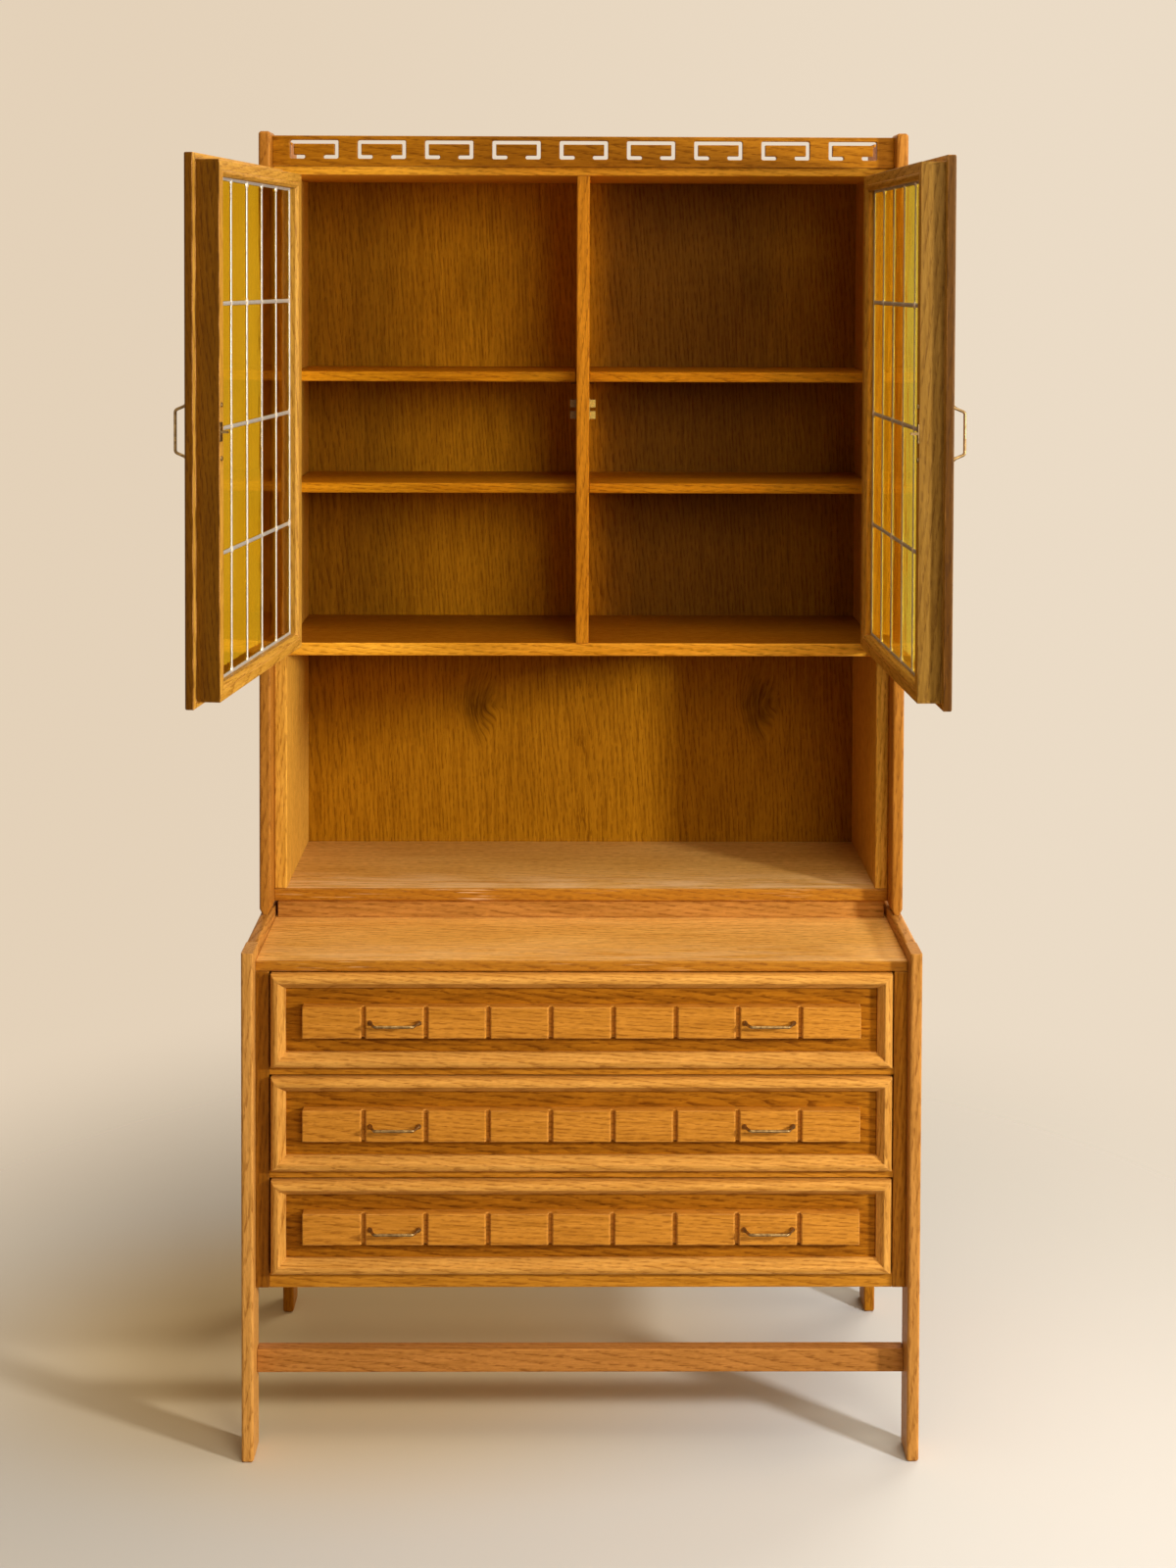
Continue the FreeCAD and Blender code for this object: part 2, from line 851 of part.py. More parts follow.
def door_pull():
    feet = door_pull_feet()
    return [pull(feet[0], feet[1])] + [screw(spot, block_y) for spot in feet]


def door_strike():
    """The plate on the inner face with the tongue that snaps between the balls of the catch."""
    x1 = door_edges()[1] - tongue_edge / 2
    back = block_y + strike_t
    plate = box(x1 - strike_w, x1, block_y, back, catch_z - strike_h / 2, catch_z + strike_h / 2)
    tip = door_edges()[1] - tongue_edge
    low = catch_z - tongue_t / 2
    tongue = box(tip - tongue_w, tip, back, back + tongue_out, low, low + tongue_t)
    return plate.fuse(tongue).removeSplitter()


def ball_catch():
    """A double ball catch on the left face of the partition, and its two balls."""
    face = -partition_t / 2
    y0 = block_y + strike_t + catch_behind
    y1 = y0 + tongue_out
    reach = catch_gap / 2 + catch_block_h
    over = reach + catch_plate_over
    plate = box(face - catch_plate_t, face, y0, y1, catch_z - over, catch_z + over)
    x = door_edges()[1] - tongue_edge - tongue_w / 2
    y = (y0 + y1) / 2
    shape = plate
    bores = []
    balls = []
    for way in (-1, 1):
        near_z = catch_z + way * catch_gap / 2
        far_z = catch_z + way * reach
        low, high = min(near_z, far_z), max(near_z, far_z)
        shape = shape.fuse(box(face - catch_out, face - catch_plate_t, y0, y1, low, high))
        mouth = V(x, y, near_z)
        deep = mouth + V(0, 0, way * (2 * ball_r - ball_show + ball_clear))
        bores.append(rod(ball_r + ball_clear, mouth, deep, peg_sides))
        balls.append(ball(ball_r, mouth + V(0, 0, way * (ball_r - ball_show))))
    return [shape.removeSplitter().cut(bores)] + balls


def hinge_middles():
    z0, z1 = door_edges()[2:]
    return (z0 + hinge_inset + hinge_h / 2, z1 - hinge_inset - hinge_h / 2)


def knuckle(radius, z0, z1):
    """A rod on the left door's hinge line, its corners on the radius."""
    return rod(radius, V(-pivot_x, pivot_y, z0), V(-pivot_x, pivot_y, z1), round_sides)


def knuckle_room(radius, z0, z1):
    """A bore on the hinge line, its flats on the radius, in which such a rod can turn."""
    return knuckle(radius / math.cos(math.pi / round_sides), z0, z1)


def hinge_leaf(x0, x1, z, on_door):
    """A narrow leaf with its share of the knuckle: the middle third on the door, the ends fixed."""
    low, high = z - hinge_h / 2, z + hinge_h / 2
    third = hinge_h / 3
    middle = (low + third + knuckle_end_gap, high - third - knuckle_end_gap)
    ends = ((low, low + third), (high - third, high))
    own = (middle,) if on_door else ends
    other = ends if on_door else (middle,)
    leaf = box(x0, x1, pivot_y, pivot_y + leaf_w, low, high)
    room = knuckle_r + knuckle_clear
    gap = knuckle_end_gap
    leaf = leaf.cut([knuckle_room(room, a - gap, b + gap) for a, b in other])
    leaf = leaf.fuse([knuckle(knuckle_r, a, b) for a, b in own])
    return leaf.cut(knuckle_room(hinge_pin_r + hinge_pin_clear, low, high)).removeSplitter()


def hinge_pin(z):
    """A pin with a small head at each end of the knuckle."""
    low, high = z - hinge_h / 2, z + hinge_h / 2
    pin = knuckle(hinge_pin_r, low, high)
    heads = [
        knuckle(hinge_pin_head_r, low - hinge_pin_head_t, low),
        knuckle(hinge_pin_head_r, high, high + hinge_pin_head_t),
    ]
    return pin.fuse(heads).removeSplitter()


def fixed_hinges():
    """The leaves screwed to the left post, each with its pin."""
    pieces = []
    for z in hinge_middles():
        pieces += [hinge_leaf(-inside, -inside + leaf_t, z, False), hinge_pin(z)]
    return pieces


def door_hinge_leaves():
    """The leaves on the outer edge of the left door's lip."""
    edge = -inside + hinge_room
    return [hinge_leaf(edge - leaf_t, edge, z, True) for z in hinge_middles()]


def opened(side, solids):
    """Left door's pieces swung open, or their mirror images swung open on the right."""
    way = -1 if side == "left" else 1
    angle = left_open if side == "left" else right_open
    turned = []
    for solid in solids:
        piece = solid if side == "left" else mirrored(solid)
        turned.append(piece.rotated(V(way * pivot_x, pivot_y, 0), V(0, 0, 1), way * angle))
    return turned


def both(shape):
    return [shape, mirrored(shape)]


os.makedirs("parts", exist_ok=True)


def save(name, solids):
    shape = solids[0] if len(solids) == 1 else Part.makeCompound(solids)
    shape.exportStep("parts/" + name + ".step")


def save_pair(name, shape):
    save(name + "_left", [shape])
    save(name + "_right", [mirrored(shape)])


# Chest
save_pair("front_leg", front_leg())
save("back_legs", both(back_leg()))
save("base_frame_rails", both(frame_rail(front_y, rail_z)))
save_pair("base_side", base_side())
save("counter_top", [counter_top()])
save("base_bottom", [base_bottom()])
save("base_back", [base_back()])
save("drawer_dividers", [divider(index) for index in range(drawer_count - 1)])
runners = []
for index in range(drawer_count):
    runners += both(runner(index))
save("drawer_runners", runners)
save("front_stretcher", [front_stretcher()])

# Upper part
save_pair("upper_front_post", upper_post(post_y))
save("upper_back_posts", both(upper_post(back_y - plank_d)))
save("upper_frame_rails", both(frame_rail(post_y, height - post_rise)))
save("plinth", plinth())
save("niche_floor", [niche_floor()])
save_pair("upper_side", upper_side())
save("cupboard_floor", [cupboard_floor()])
save("partition", [partition()])
save("top_board", [top_board()])
save("upper_back", [upper_back()])
save("frieze", [frieze()])
save("upper_shelves", both(shelf(upper_shelf_rise)))
save("lower_shelves", both(shelf(lower_shelf_rise)))
save("shelf_pins", shelf_pins())
catches = ball_catch()
save("ball_catches", catches + [mirrored(piece) for piece in catches])
hinges = fixed_hinges()
save("fixed_hinges", hinges + [mirrored(piece) for piece in hinges])

# Doors
door_pieces = {
    "frame": door_frame(),
    "beads": door_beads(),
    "cames": [door_cames()],
    "panes": door_panes(),
    "pull": door_pull(),
    "strike": [door_strike()],
    "hinge_leaves": door_hinge_leaves(),
}
for side in ("left", "right"):
    for piece, solids in door_pieces.items():
        save(side + "_door_" + piece, opened(side, solids))

# Drawers
for index, level in enumerate(("top", "middle", "bottom")[:drawer_count]):
    name = level + "_drawer_"
    save(name + "front", [drawer_front(index)])
    save(name + "moulding", drawer_moulding(index))
    save(name + "tiles", [drawer_tiles(index)])
    save(name + "box", drawer_box(index))
    save(name + "pulls", drawer_pulls(index))
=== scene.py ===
"""Looks of the oak step-back cabinet: honey oak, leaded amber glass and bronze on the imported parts."""
import json
import math

import bpy
from mathutils import Matrix, Vector


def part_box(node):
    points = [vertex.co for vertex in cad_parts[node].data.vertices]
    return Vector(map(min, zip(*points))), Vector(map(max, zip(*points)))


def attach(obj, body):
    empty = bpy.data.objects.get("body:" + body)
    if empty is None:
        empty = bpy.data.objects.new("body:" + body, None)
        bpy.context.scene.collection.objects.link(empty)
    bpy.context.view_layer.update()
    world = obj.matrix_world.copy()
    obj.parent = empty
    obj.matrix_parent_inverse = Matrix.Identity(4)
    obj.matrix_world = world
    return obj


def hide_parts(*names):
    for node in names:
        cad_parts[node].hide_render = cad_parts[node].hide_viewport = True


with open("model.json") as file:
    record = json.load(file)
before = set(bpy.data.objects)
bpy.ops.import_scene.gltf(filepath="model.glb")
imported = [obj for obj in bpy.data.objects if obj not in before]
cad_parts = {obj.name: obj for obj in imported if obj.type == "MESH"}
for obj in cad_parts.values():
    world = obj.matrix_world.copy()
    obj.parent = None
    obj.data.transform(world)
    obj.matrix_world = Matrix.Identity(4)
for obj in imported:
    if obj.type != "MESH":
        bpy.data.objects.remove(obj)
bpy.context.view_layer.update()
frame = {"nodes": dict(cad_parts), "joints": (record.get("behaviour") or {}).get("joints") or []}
bpy.ops.object.select_all(action="DESELECT")

# Camera of the photograph: its place, its turns, and the focal length in pixels of the 1200 by 1600 frame
photo_width = 1200
photo_focal = 2199
photo_drop = 451.25
sensor_width = 36
camera_place = Vector((-0.0224, -3.3887, 1.7510))
camera_yaw = math.radians(-0.511)
camera_pitch = math.radians(-1.747)
camera_roll = math.radians(0.192)

# Lights: a near key from the right, a high fill from in front, broad ones from the side, behind and overhead
lamps = {
    "key_light": {
        "place": Vector((2.6, -2.03, 1.65)),
        "aim": Vector((0, 0, 0.9)),
        "size": 0.3,
        "power": 104,
        "colour": (1.0, 1.0, 1.0),
    },
    "fill_light": {
        "place": Vector((1.2, -3.5, 2.55)),
        "aim": Vector((0, 0, 0.9)),
        "size": 1.6,
        "power": 59,
        "colour": (1.0, 0.91, 0.74),
    },
    "side_light": {
        "place": Vector((3.3, -0.2, 0.55)),
        "aim": Vector((0, -0.1, 0.7)),
        "size": 1.2,
        "power": 46,
        "colour": (1.0, 0.84, 0.60),
    },
    "back_light": {
        "place": Vector((1.8, 1.8, 3.0)),
        "aim": Vector((0, 0.2, 0)),
        "size": 1.6,
        "power": 42,
        "colour": (1.0, 0.92, 0.78),
    },
    "top_light": {
        "place": Vector((0.3, -0.9, 4.3)),
        "aim": Vector((0, -0.1, 0.7)),
        "size": 2.5,
        "power": 66,
        "colour": (1.0, 0.87, 0.66),
    },
}

# Room light, backdrop and floor; the floor has a painted warm shade under the chest and at its left, and
# fades outwards
room_light = (1.0, 0.68, 0.38, 1)
room_strength = 0.20
backdrop_left = (0.775, 0.64, 0.485, 1)
backdrop_right = (0.83, 0.71, 0.565, 1)
backdrop_turn = 0.25
floor_colour = (0.55, 0.55, 0.545, 1)
floor_cloud = (0.58, 0.58, 0.575, 1)
floor_cloud_stretch = (1.5, 1.5, 1.5)
floor_painted_shade = (0.61, 0.48, 0.27, 1)
floor_shade_place = (-0.4, 0.1, 0)
floor_shade_reach = (0.9, 0.6, 1)
floor_shade_core = 0.25
floor_roughness = 0.9
floor_radius = 6.0
floor_sides = 96
floor_fade_start = 0.6
floor_fade_end = 1.9

drawers = ("top_drawer", "middle_drawer", "bottom_drawer")
doors = ("left_door", "right_door")

# Boards: their eased edges, and how far an aged front edge and its dust reach back, in metres
board_ease = 0.0012
ease_steps = 2
weld_gap = 1e-5
flat_angle = math.radians(1)
sharp_angle = math.radians(40)
edge_fade = (0.003, 0.0015)
dust_reach = 0.12

# Doors: strips of their free edges darkened by painted shade, in metres from the middle of the cabinet
door_free_edge = (0.0124, 0.0134)
door_lip_edge = (-0.001, 0.0018)
door_edge_fade = 0.0008

# Tiles: how far along and across the log each one is cut from the one before it
tile_count = 9
tile_groove = 0.0053
tile_step_along = 1.7
tile_step_across = 0.013

# Leaves of veneer on the back: their width and heart, the knots by place across the leaf and height, and
# where painted shade darkens the back, from the middle of the cabinet
leaf_start = -0.482
leaf_pitch = 0.475
leaf_heart = 0.065
leaf_depth = 0.012
leaf_drift = 0.004
leaf_knot = (0.307, 1.02)
leaf_smudge = (0.305, 1.74)
knot_reach = 0.05
knot_flatness = 0.6
knot_bend = 0.02
knot_tail = 16
smudge_tail = 5
back_face_fade = (0.002, 0.001)
cupboard_fade = 0.003
far_shade_start = (-0.02, 0.06)
far_shade_end = (0.24, 0.44)
far_shade_loss = 0.45
near_shade = (-0.2, -0.4)

# Pulls: a bent rod on two splayed, flared feet
pull_span = 0.072
pull_bar = 0.057
pull_out = 0.018
pull_rod = 0.0021
pull_foot = 0.0038
pull_bend = 0.005
pull_bend_steps = 6
rod_sides = 16
foot_thick = 0.0018
flare_length = 0.0065
screw_head = 0.0035
screw_head_thick = 0.002
screw_sides = 24
screw_round = screw_head_thick * 0.4
screw_hollow_rim = screw_head * 0.3
round_steps = 3

# Leaded glass
columns = 5
rows = 4
came_width = 0.0065
border_width = 0.012
came_round = 0.0024
solder_size = Vector((0.0062, 0.0035, 0.0056))
solder_least = 0.85
solder_spread = 0.3
solder_turn = 6
solder_sides = 18
solder_rings = 10
pane_thick = 0.003
pane_bite = 0.002
pane_wave = 0.00012
pane_cuts = 5


# Small helpers for shader nodes


def add(tree, kind, feeds=(), **settings):
    """One node with its settings; feeds gives each input a value or another node's output."""
    node = tree.nodes.new(kind)
    for name, value in settings.items():
        setattr(node, name, value)
    for key, value in dict(feeds).items():
        if isinstance(value, bpy.types.NodeSocket):
            tree.links.new(value, node.inputs[key])
        else:
            node.inputs[key].default_value = value
    return node


def sums(tree, operation, first, second=0.0, clamp=False):
    """One step of arithmetic on two values."""
    feeds = {0: first, 1: second}
    return add(tree, "ShaderNodeMath", feeds, operation=operation, use_clamp=clamp).outputs[0]


def weighed(tree, start, *terms):
    """start plus each value times its weight, held between 0 and 1."""
    total = start
    for value, weight in terms:
        total = sums(tree, "ADD", sums(tree, "MULTIPLY", value, weight), total)
    return sums(tree, "ADD", total, 0.0, clamp=True)


def noise(tree, place, stretch, detail=2.0, distortion=0.0):
    """Noise with a stretch per axis, in turns per metre."""
    scaled = add(tree, "ShaderNodeVectorMath", {0: place, 1: stretch}, operation="MULTIPLY")
    feeds = {"Vector": scaled.outputs[0], "Scale": 1.0, "Detail": detail, "Distortion": distortion}
    return add(tree, "ShaderNodeTexNoise", feeds).outputs[0]


def graded(tree, value, low, high, to_low=0.0, to_high=1.0):
    """value eased from one range to another."""
    feeds = {"Value": value, "From Min": low, "From Max": high, "To Min": to_low, "To Max": to_high}
    return add(tree, "ShaderNodeMapRange", feeds, interpolation_type="SMOOTHSTEP").outputs[0]


def mixed(tree, share, under, over, blend="MIX"):
    """A colour with a share of another laid over it."""
    feeds = {0: share, 6: under, 7: over}
    return add(tree, "ShaderNodeMix", feeds, data_type="RGBA", blend_type=blend).outputs[2]


def group(name, inputs, outputs):
    """An empty node group with its sockets, and its start and end nodes."""
    tree = bpy.data.node_groups.new(name, "ShaderNodeTree")
    for label, kind, value in inputs:
        socket = tree.interface.new_socket(label, in_out="INPUT", socket_type="NodeSocket" + kind)
        if value is not None:
            socket.default_value = value
    for label, kind in outputs:
        tree.interface.new_socket(label, in_out="OUTPUT", socket_type="NodeSocket" + kind)
    return tree, tree.nodes.new("NodeGroupInput"), tree.nodes.new("NodeGroupOutput")


def placed(tree, made, feeds):
    """The outputs of a node group placed in a material with its values."""
    return add(tree, "ShaderNodeGroup", feeds, node_tree=made).outputs


def put_out(tree, end, results):
    """Links each result to the group's output of that name."""
    for label, socket in results.items():
        tree.links.new(socket, end.inputs[label])


# Node groups shared by the materials; stretches are in turns per metre along and across the grain

ring_gap = 0.0065
ring_warp = (2.2, 15, 15)
ring_wander = 0.034
heart_lean_across = 0.075
heart_lean_deep = 0.05
early_wood = 0.62
pore_root = 0.3
pore_stretch = (75, 460, 460)
pore_range = (0.40, 0.62)
pore_shade = (0.50, 0.40, 0.30, 1)
fibre_stretch = (9, 190, 190)
drift_stretch = (1.3, 8, 8)
fleck_stretch = (85, 45, 45)
fleck_range = (0.6, 0.72)
wear_radius = 0.0022
wear_samples = 4
wear_facing = (0.985, 0.86)
wear_stretch = (23, 60, 60)
wear_range = (0.34, 0.62)
tarnish_stretch = (130, 130, 130)
tarnish_most = 0.85
tarnish_fade = 0.3
metal_grain_stretch = (900, 900, 900)


def oak_figure():
    """Growth rings round a leaning heart, pores in the early wood, fibres and broad drifts of tone."""
    tree, given, end = group(
        "oak_figure",
        [
            ("Place", "Vector", None),
            ("Pale", "Color", None),
            ("Deep", "Color", None),
            ("Ring Gap", "Float", ring_gap),
            ("Pores", "Float", None),
        ],
        [("Colour", "Color"), ("Roughness", "Float"), ("Height", "Float")],
    )
    place = given.outputs["Place"]
    along, across, deep = add(tree, "ShaderNodeSeparateXYZ", {0: place}).outputs
    warp = noise(tree, place, ring_warp)
    wander = sums(tree, "MULTIPLY", sums(tree, "SUBTRACT", warp, 0.5), ring_wander)
    lean_across = sums(tree, "ADD", sums(tree, "MULTIPLY", along, heart_lean_across), across)
    lean_deep = sums(tree, "ADD", sums(tree, "MULTIPLY", along, heart_lean_deep), deep)
    square = sums(tree, "ADD", sums(tree, "POWER", lean_across, 2.0), sums(tree, "POWER", lean_deep, 2.0))
    from_heart = sums(tree, "ADD", sums(tree, "SQRT", square), wander)
    ring = sums(tree, "FRACT", sums(tree, "DIVIDE", from_heart, given.outputs["Ring Gap"]))
    early = graded(tree, ring, early_wood, 0.0)
    rooted = sums(tree, "ADD", sums(tree, "MULTIPLY", early, 1 - pore_root), pore_root)
    dashes = graded(tree, noise(tree, place, pore_stretch), *pore_range)
    pores = sums(tree, "MULTIPLY", sums(tree, "MULTIPLY", dashes, rooted), given.outputs["Pores"])
    fibre = noise(tree, place, fibre_stretch, detail=5.0)
    broad = noise(tree, place, drift_stretch)
    fleck = graded(tree, noise(tree, place, fleck_stretch, detail=1.0, distortion=0.4), *fleck_range)
    shade = weighed(tree, -1.28, (early, 0.22), (fibre, 2.5), (broad, 0.8), (fleck, -0.12))
    colour = mixed(tree, shade, given.outputs["Pale"], given.outputs["Deep"])
    colour = mixed(tree, pores, colour, pore_shade, "MULTIPLY")
    results = {
        "Colour": colour,
        "Roughness": weighed(tree, 0.34, (pores, 0.16), (broad, 0.16)),
        "Height": weighed(tree, 0.6, (pores, -0.6), (fibre, 0.3), (early, -0.12)),
    }
    put_out(tree, end, results)
    return tree


def edge_wear():
    """Rounded edges, and a patchy mask of where hands and cloths have rubbed them."""
    tree, given, end = group(
        "edge_wear",
        [("Place", "Vector", None), ("Radius", "Float", wear_radius)],
        [("Worn", "Float"), ("Rounded", "Vector")],
    )
    rounded = add(tree, "ShaderNodeBevel", {"Radius": given.outputs["Radius"]}, samples=wear_samples)
    true = add(tree, "ShaderNodeNewGeometry")
    feeds = {0: rounded.outputs[0], 1: true.outputs["Normal"]}
    facing = add(tree, "ShaderNodeVectorMath", feeds, operation="DOT_PRODUCT").outputs["Value"]
    bare = graded(tree, facing, *wear_facing)
    patches = graded(tree, noise(tree, given.outputs["Place"], wear_stretch, detail=3.0), *wear_range)
    results = {"Worn": sums(tree, "MULTIPLY", bare, patches), "Rounded": rounded.outputs[0]}
    put_out(tree, end, results)
    return tree


def metal_patina():
    """Cloudy tarnish, with fine grain in the height."""
    tree, given, end = group(
        "metal_patina",
        [
            ("Place", "Vector", None),
            ("Bright", "Color", None),
            ("Dull", "Color", None),
            ("Tarnish", "Float", None),
            ("Rough", "Float", None),
        ],
        [("Colour", "Color"), ("Roughness", "Float"), ("Height", "Float")],
    )
    clouds = noise(tree, given.outputs["Place"], tarnish_stretch, detail=4.0)
    grain = noise(tree, given.outputs["Place"], metal_grain_stretch)
    low = sums(tree, "SUBTRACT", tarnish_most, given.outputs["Tarnish"])
    share = graded(tree, clouds, low, sums(tree, "ADD", low, tarnish_fade))
    results = {
        "Colour": mixed(tree, share, given.outputs["Bright"], given.outputs["Dull"]),
        "Roughness": weighed(tree, given.outputs["Rough"], (share, 0.2), (grain, 0.14)),
        "Height": grain,
    }
    put_out(tree, end, results)
    return tree


oak_group = oak_figure()
wear_group = edge_wear()
patina_group = metal_patina()


# Oak: each tone is a pale and a deep colour, and the single colours are laid over a tone

runs = {"x": (0, 0, 0), "y": (0, 0, -math.pi / 2), "z": (0, math.pi / 2, 0)}
honey = ((0.58, 0.24, 0.020, 1), (0.385, 0.142, 0.007, 1))
worn_honey = ((0.92, 0.525, 0.145, 1), (0.73, 0.355, 0.070, 1))
door_honey = ((0.56, 0.295, 0.043, 1), (0.38, 0.176, 0.016, 1))
# Paler than the honey: painted light on the partition's front edge, which the open right door shades from
# the lamps
partition_painted_light_honey = ((0.75, 0.315, 0.018, 1), (0.52, 0.195, 0.006, 1))
side_honey = ((0.73, 0.372, 0.054, 1), (0.505, 0.232, 0.022, 1))
rubbed_honey = ((0.69, 0.335, 0.068, 1), (0.49, 0.210, 0.030, 1))
dull_honey = ((0.53, 0.235, 0.048, 1), (0.36, 0.150, 0.023, 1))
pale_leg = ((0.64, 0.31, 0.070, 1), (0.45, 0.20, 0.034, 1))
post_honey = ((0.45, 0.178, 0.023, 1), (0.31, 0.112, 0.010, 1))
rail_honey = ((0.48, 0.198, 0.042, 1), (0.33, 0.126, 0.020, 1))
# Paler tone: painted light on the shelves' front edges, which the open right door shades from the lamps
shelf_painted_light_honey = ((0.68, 0.285, 0.009, 1), (0.475, 0.177, 0.003, 1))
frieze_honey = ((0.39, 0.148, 0.006, 1), (0.26, 0.088, 0.002, 1))
tile_honey = ((0.61, 0.250, 0.030, 1), (0.445, 0.168, 0.014, 1))
# Darker tone: painted shade on the drawers' sunk panels, inside the mouldings and under the tiles
panel_painted_shade_honey = ((0.43, 0.155, 0.008, 1), (0.22, 0.069, 0.003, 1))
# Near black: painted shade, so the shelf pins sink into the shade under the shelves
pin_painted_shade = ((0.15, 0.06, 0.006, 1), (0.10, 0.035, 0.003, 1))
# The back's darker varnish, made paler as painted light for the cupboard part, which the lamps light less;
# painted shade takes the niche part down again
old_varnish_and_painted_light = ((0.63, 0.290, 0.011, 1), (0.415, 0.173, 0.0055, 1))
# Palest tone: painted light on the front edges of the top board and the cupboard floor, which the open right
# door shades from the lamps
edge_painted_light_honey = ((0.96, 0.46, 0.042, 1), (0.75, 0.325, 0.018, 1))
worn_edge = (0.78, 0.37, 0.10, 1)
handled = (0.42, 0.37, 0.28, 1)
knot_brown = (0.30, 0.24, 0.20, 1)
# Painted shade on each door's free edges: the edge of the block, then the edge of the lip
door_edge_painted_shade = {
    "left_door": ((0.29, 0.21, 0.06, 1), (0.29, 0.20, 0.05, 1)),
    "right_door": ((0.46, 0.45, 0.50, 1), (0.17, 0.11, 0.07, 1)),
}
scuffed = (0.85, 0.58, 0.32, 1)
polished = (0.90, 0.85, 0.70, 1)
untinted = (1, 1, 1, 1)
counter_edge = (0.52, 0.37, 0.10, 1)
niche_floor_top = (0.815, 0.83, 0.83, 1)
niche_floor_edge = (0.48, 0.34, 0.085, 1)
# Painted shade on the top of the cupboard floor, inside the cupboard
cupboard_floor_painted_shade = (0.34, 0.255, 0.095, 1)
shelf_top = (0.76, 0.70, 0.60, 1)
# Painted shade on the front edges of the chest's sides, in the recesses beside the drawers
left_side_painted_shade = (0.48, 0.42, 0.32, 1)
right_side_painted_shade = (0.78, 0.74, 0.70, 1)
# Painted shade on the back: the niche part, the cupboard's right half and its left end
niche_painted_shade = (0.59, 0.52, 0.47, 1)
far_side_painted_shade = (0.35, 0.32, 0.75, 1)
near_side_painted_shade = (0.50, 0.50, 0.75, 1)
varnish = (1.0, 0.78, 0.40, 1)

# Finishes: gloss of the varnish, share of rubbed edges, depth of the pores and relief of the grain
bare_gloss = 0.04
matt = 0.1
satin = 0.2
polish = 0.4
board_wear = 0.55
edged_wear = 0.6
leg_wear = 0.7
moulding_wear = 0.7
tile_wear = 0.75
door_wear = 1.0
open_pores = 1.0
filled_pores = 0.8
veneer_pores = 0.75
grain_strength = 0.35
grain_relief = 0.0006

# Marks on a board, with their stretches in turns per metre
polish_stretch = (2.5, 9, 9)
polish_range = (0.38, 0.62)
dust_stretch = (10, 80, 80)
dust_range = (0.34, 0.66)
counter_dust = 0.35
niche_dust = 0.7
scratch_stretch = (10, 300, 420)
scratch_range = (0.6, 0.68)
scratch_share = 0.6
gap_stretch = (4, 4, 4)
gap_range = (0.48, 0.62)
streak_stretch = (30, 240, 240)
streak_range = (0.4, 0.62)
streak_least = 0.55
knot_share = 0.95
smudge_share = 0.4

# Where a board comes from in its log: the stretch along it, and how far the heart lies from the board
log_start = 3
log_length = 9
heart_sway = 0.05
heart_nearest = 0.035
heart_range = 0.05
seed_factor = 0.61803


def started(name):
    """A material with its shader, tree and object coordinates."""
    material = bpy.data.materials.new(name)
    material.use_nodes = True
    tree = material.node_tree
    shader = tree.nodes["Principled BSDF"]
    return material, tree, shader, add(tree, "ShaderNodeTexCoord").outputs["Object"]


def seed_of(name):
    """A fixed number between 0 and 1 for a name."""
    return sum((i + 1) * ord(letter) for i, letter in enumerate(name)) * seed_factor % 1


def grain_place(tree, place, run, centre, seed):
    """Coordinates with the grain along the first axis, and the tree's heart near the board."""
    turn = Matrix.Identity(3)
    for axis, angle in zip("XYZ", runs[run]):
        turn = Matrix.Rotation(angle, 3, axis) @ turn
    along = log_start + log_length * seed
    heart = Vector((along, heart_sway * math.sin(log_length * seed), heart_nearest + heart_range * seed))
    feeds = {"Vector": place, "Rotation": runs[run], "Location": heart - turn @ centre}
    return add(tree, "ShaderNodeMapping", feeds).outputs[0]


def finish_oak(tree, shader, place, tone, wear, pores=filled_pores, gloss=satin, marks=()):
    """Oak figure, marks (each a mask, a colour and how it blends), worn edges and varnish."""
    feeds = {"Place": place, "Pale": tone[0], "Deep": tone[1], "Pores": pores}
    figure = placed(tree, oak_group, feeds)
    colour = figure["Colour"]
    for mask, tint, blend in marks:
        colour = mixed(tree, mask, colour, tint, blend)
    worn = placed(tree, wear_group, {"Place": place})
    share = sums(tree, "MULTIPLY", worn["Worn"], wear)
    tree.links.new(mixed(tree, share, colour, worn_edge), shader.inputs["Base Color"])
    tree.links.new(figure["Roughness"], shader.inputs["Roughness"])
    feeds = {"Height": figure["Height"], "Normal": worn["Rounded"]}
    feeds.update({"Strength": grain_strength, "Distance": grain_relief})
    tree.links.new(add(tree, "ShaderNodeBump", feeds).outputs[0], shader.inputs["Normal"])
    shader.inputs["Specular IOR Level"].default_value = gloss
    shader.inputs["Specular Tint"].default_value = varnish


def middle(node):
    """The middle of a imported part's box."""
    low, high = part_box(node)
    return (low + high) / 2


def dress(node, material):
    """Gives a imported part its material."""
    slots = frame["nodes"][node].data.materials
    slots.clear()
    slots.append(material)


def eased(node):
    """Rounds a packed board's sharp edges: triangles welded, flat faces merged, edges bevelled."""
    modifiers = frame["nodes"][node].modifiers
    modifiers.new("weld", "WELD").merge_threshold = weld_gap
    merged = modifiers.new("flat_faces", "DECIMATE")
    merged.decimate_type = "DISSOLVE"
    merged.angle_limit = flat_angle
    bevel = modifiers.new("eased_edges", "BEVEL")
    bevel.width = board_ease
    bevel.segments = ease_steps
    bevel.limit_method = "ANGLE"
    bevel.angle_limit = sharp_angle


def oak_board(node, run, tone=honey, wear=board_wear, **finish):
    """A board in one tone, with its grain along the given axis."""
    material, tree, shader, place = started("oak_" + node)
    along = grain_place(tree, place, run, middle(node), seed_of(node))
    finish_oak(tree, shader, along, tone, wear, **finish)
    dress(node, material)
    eased(node)


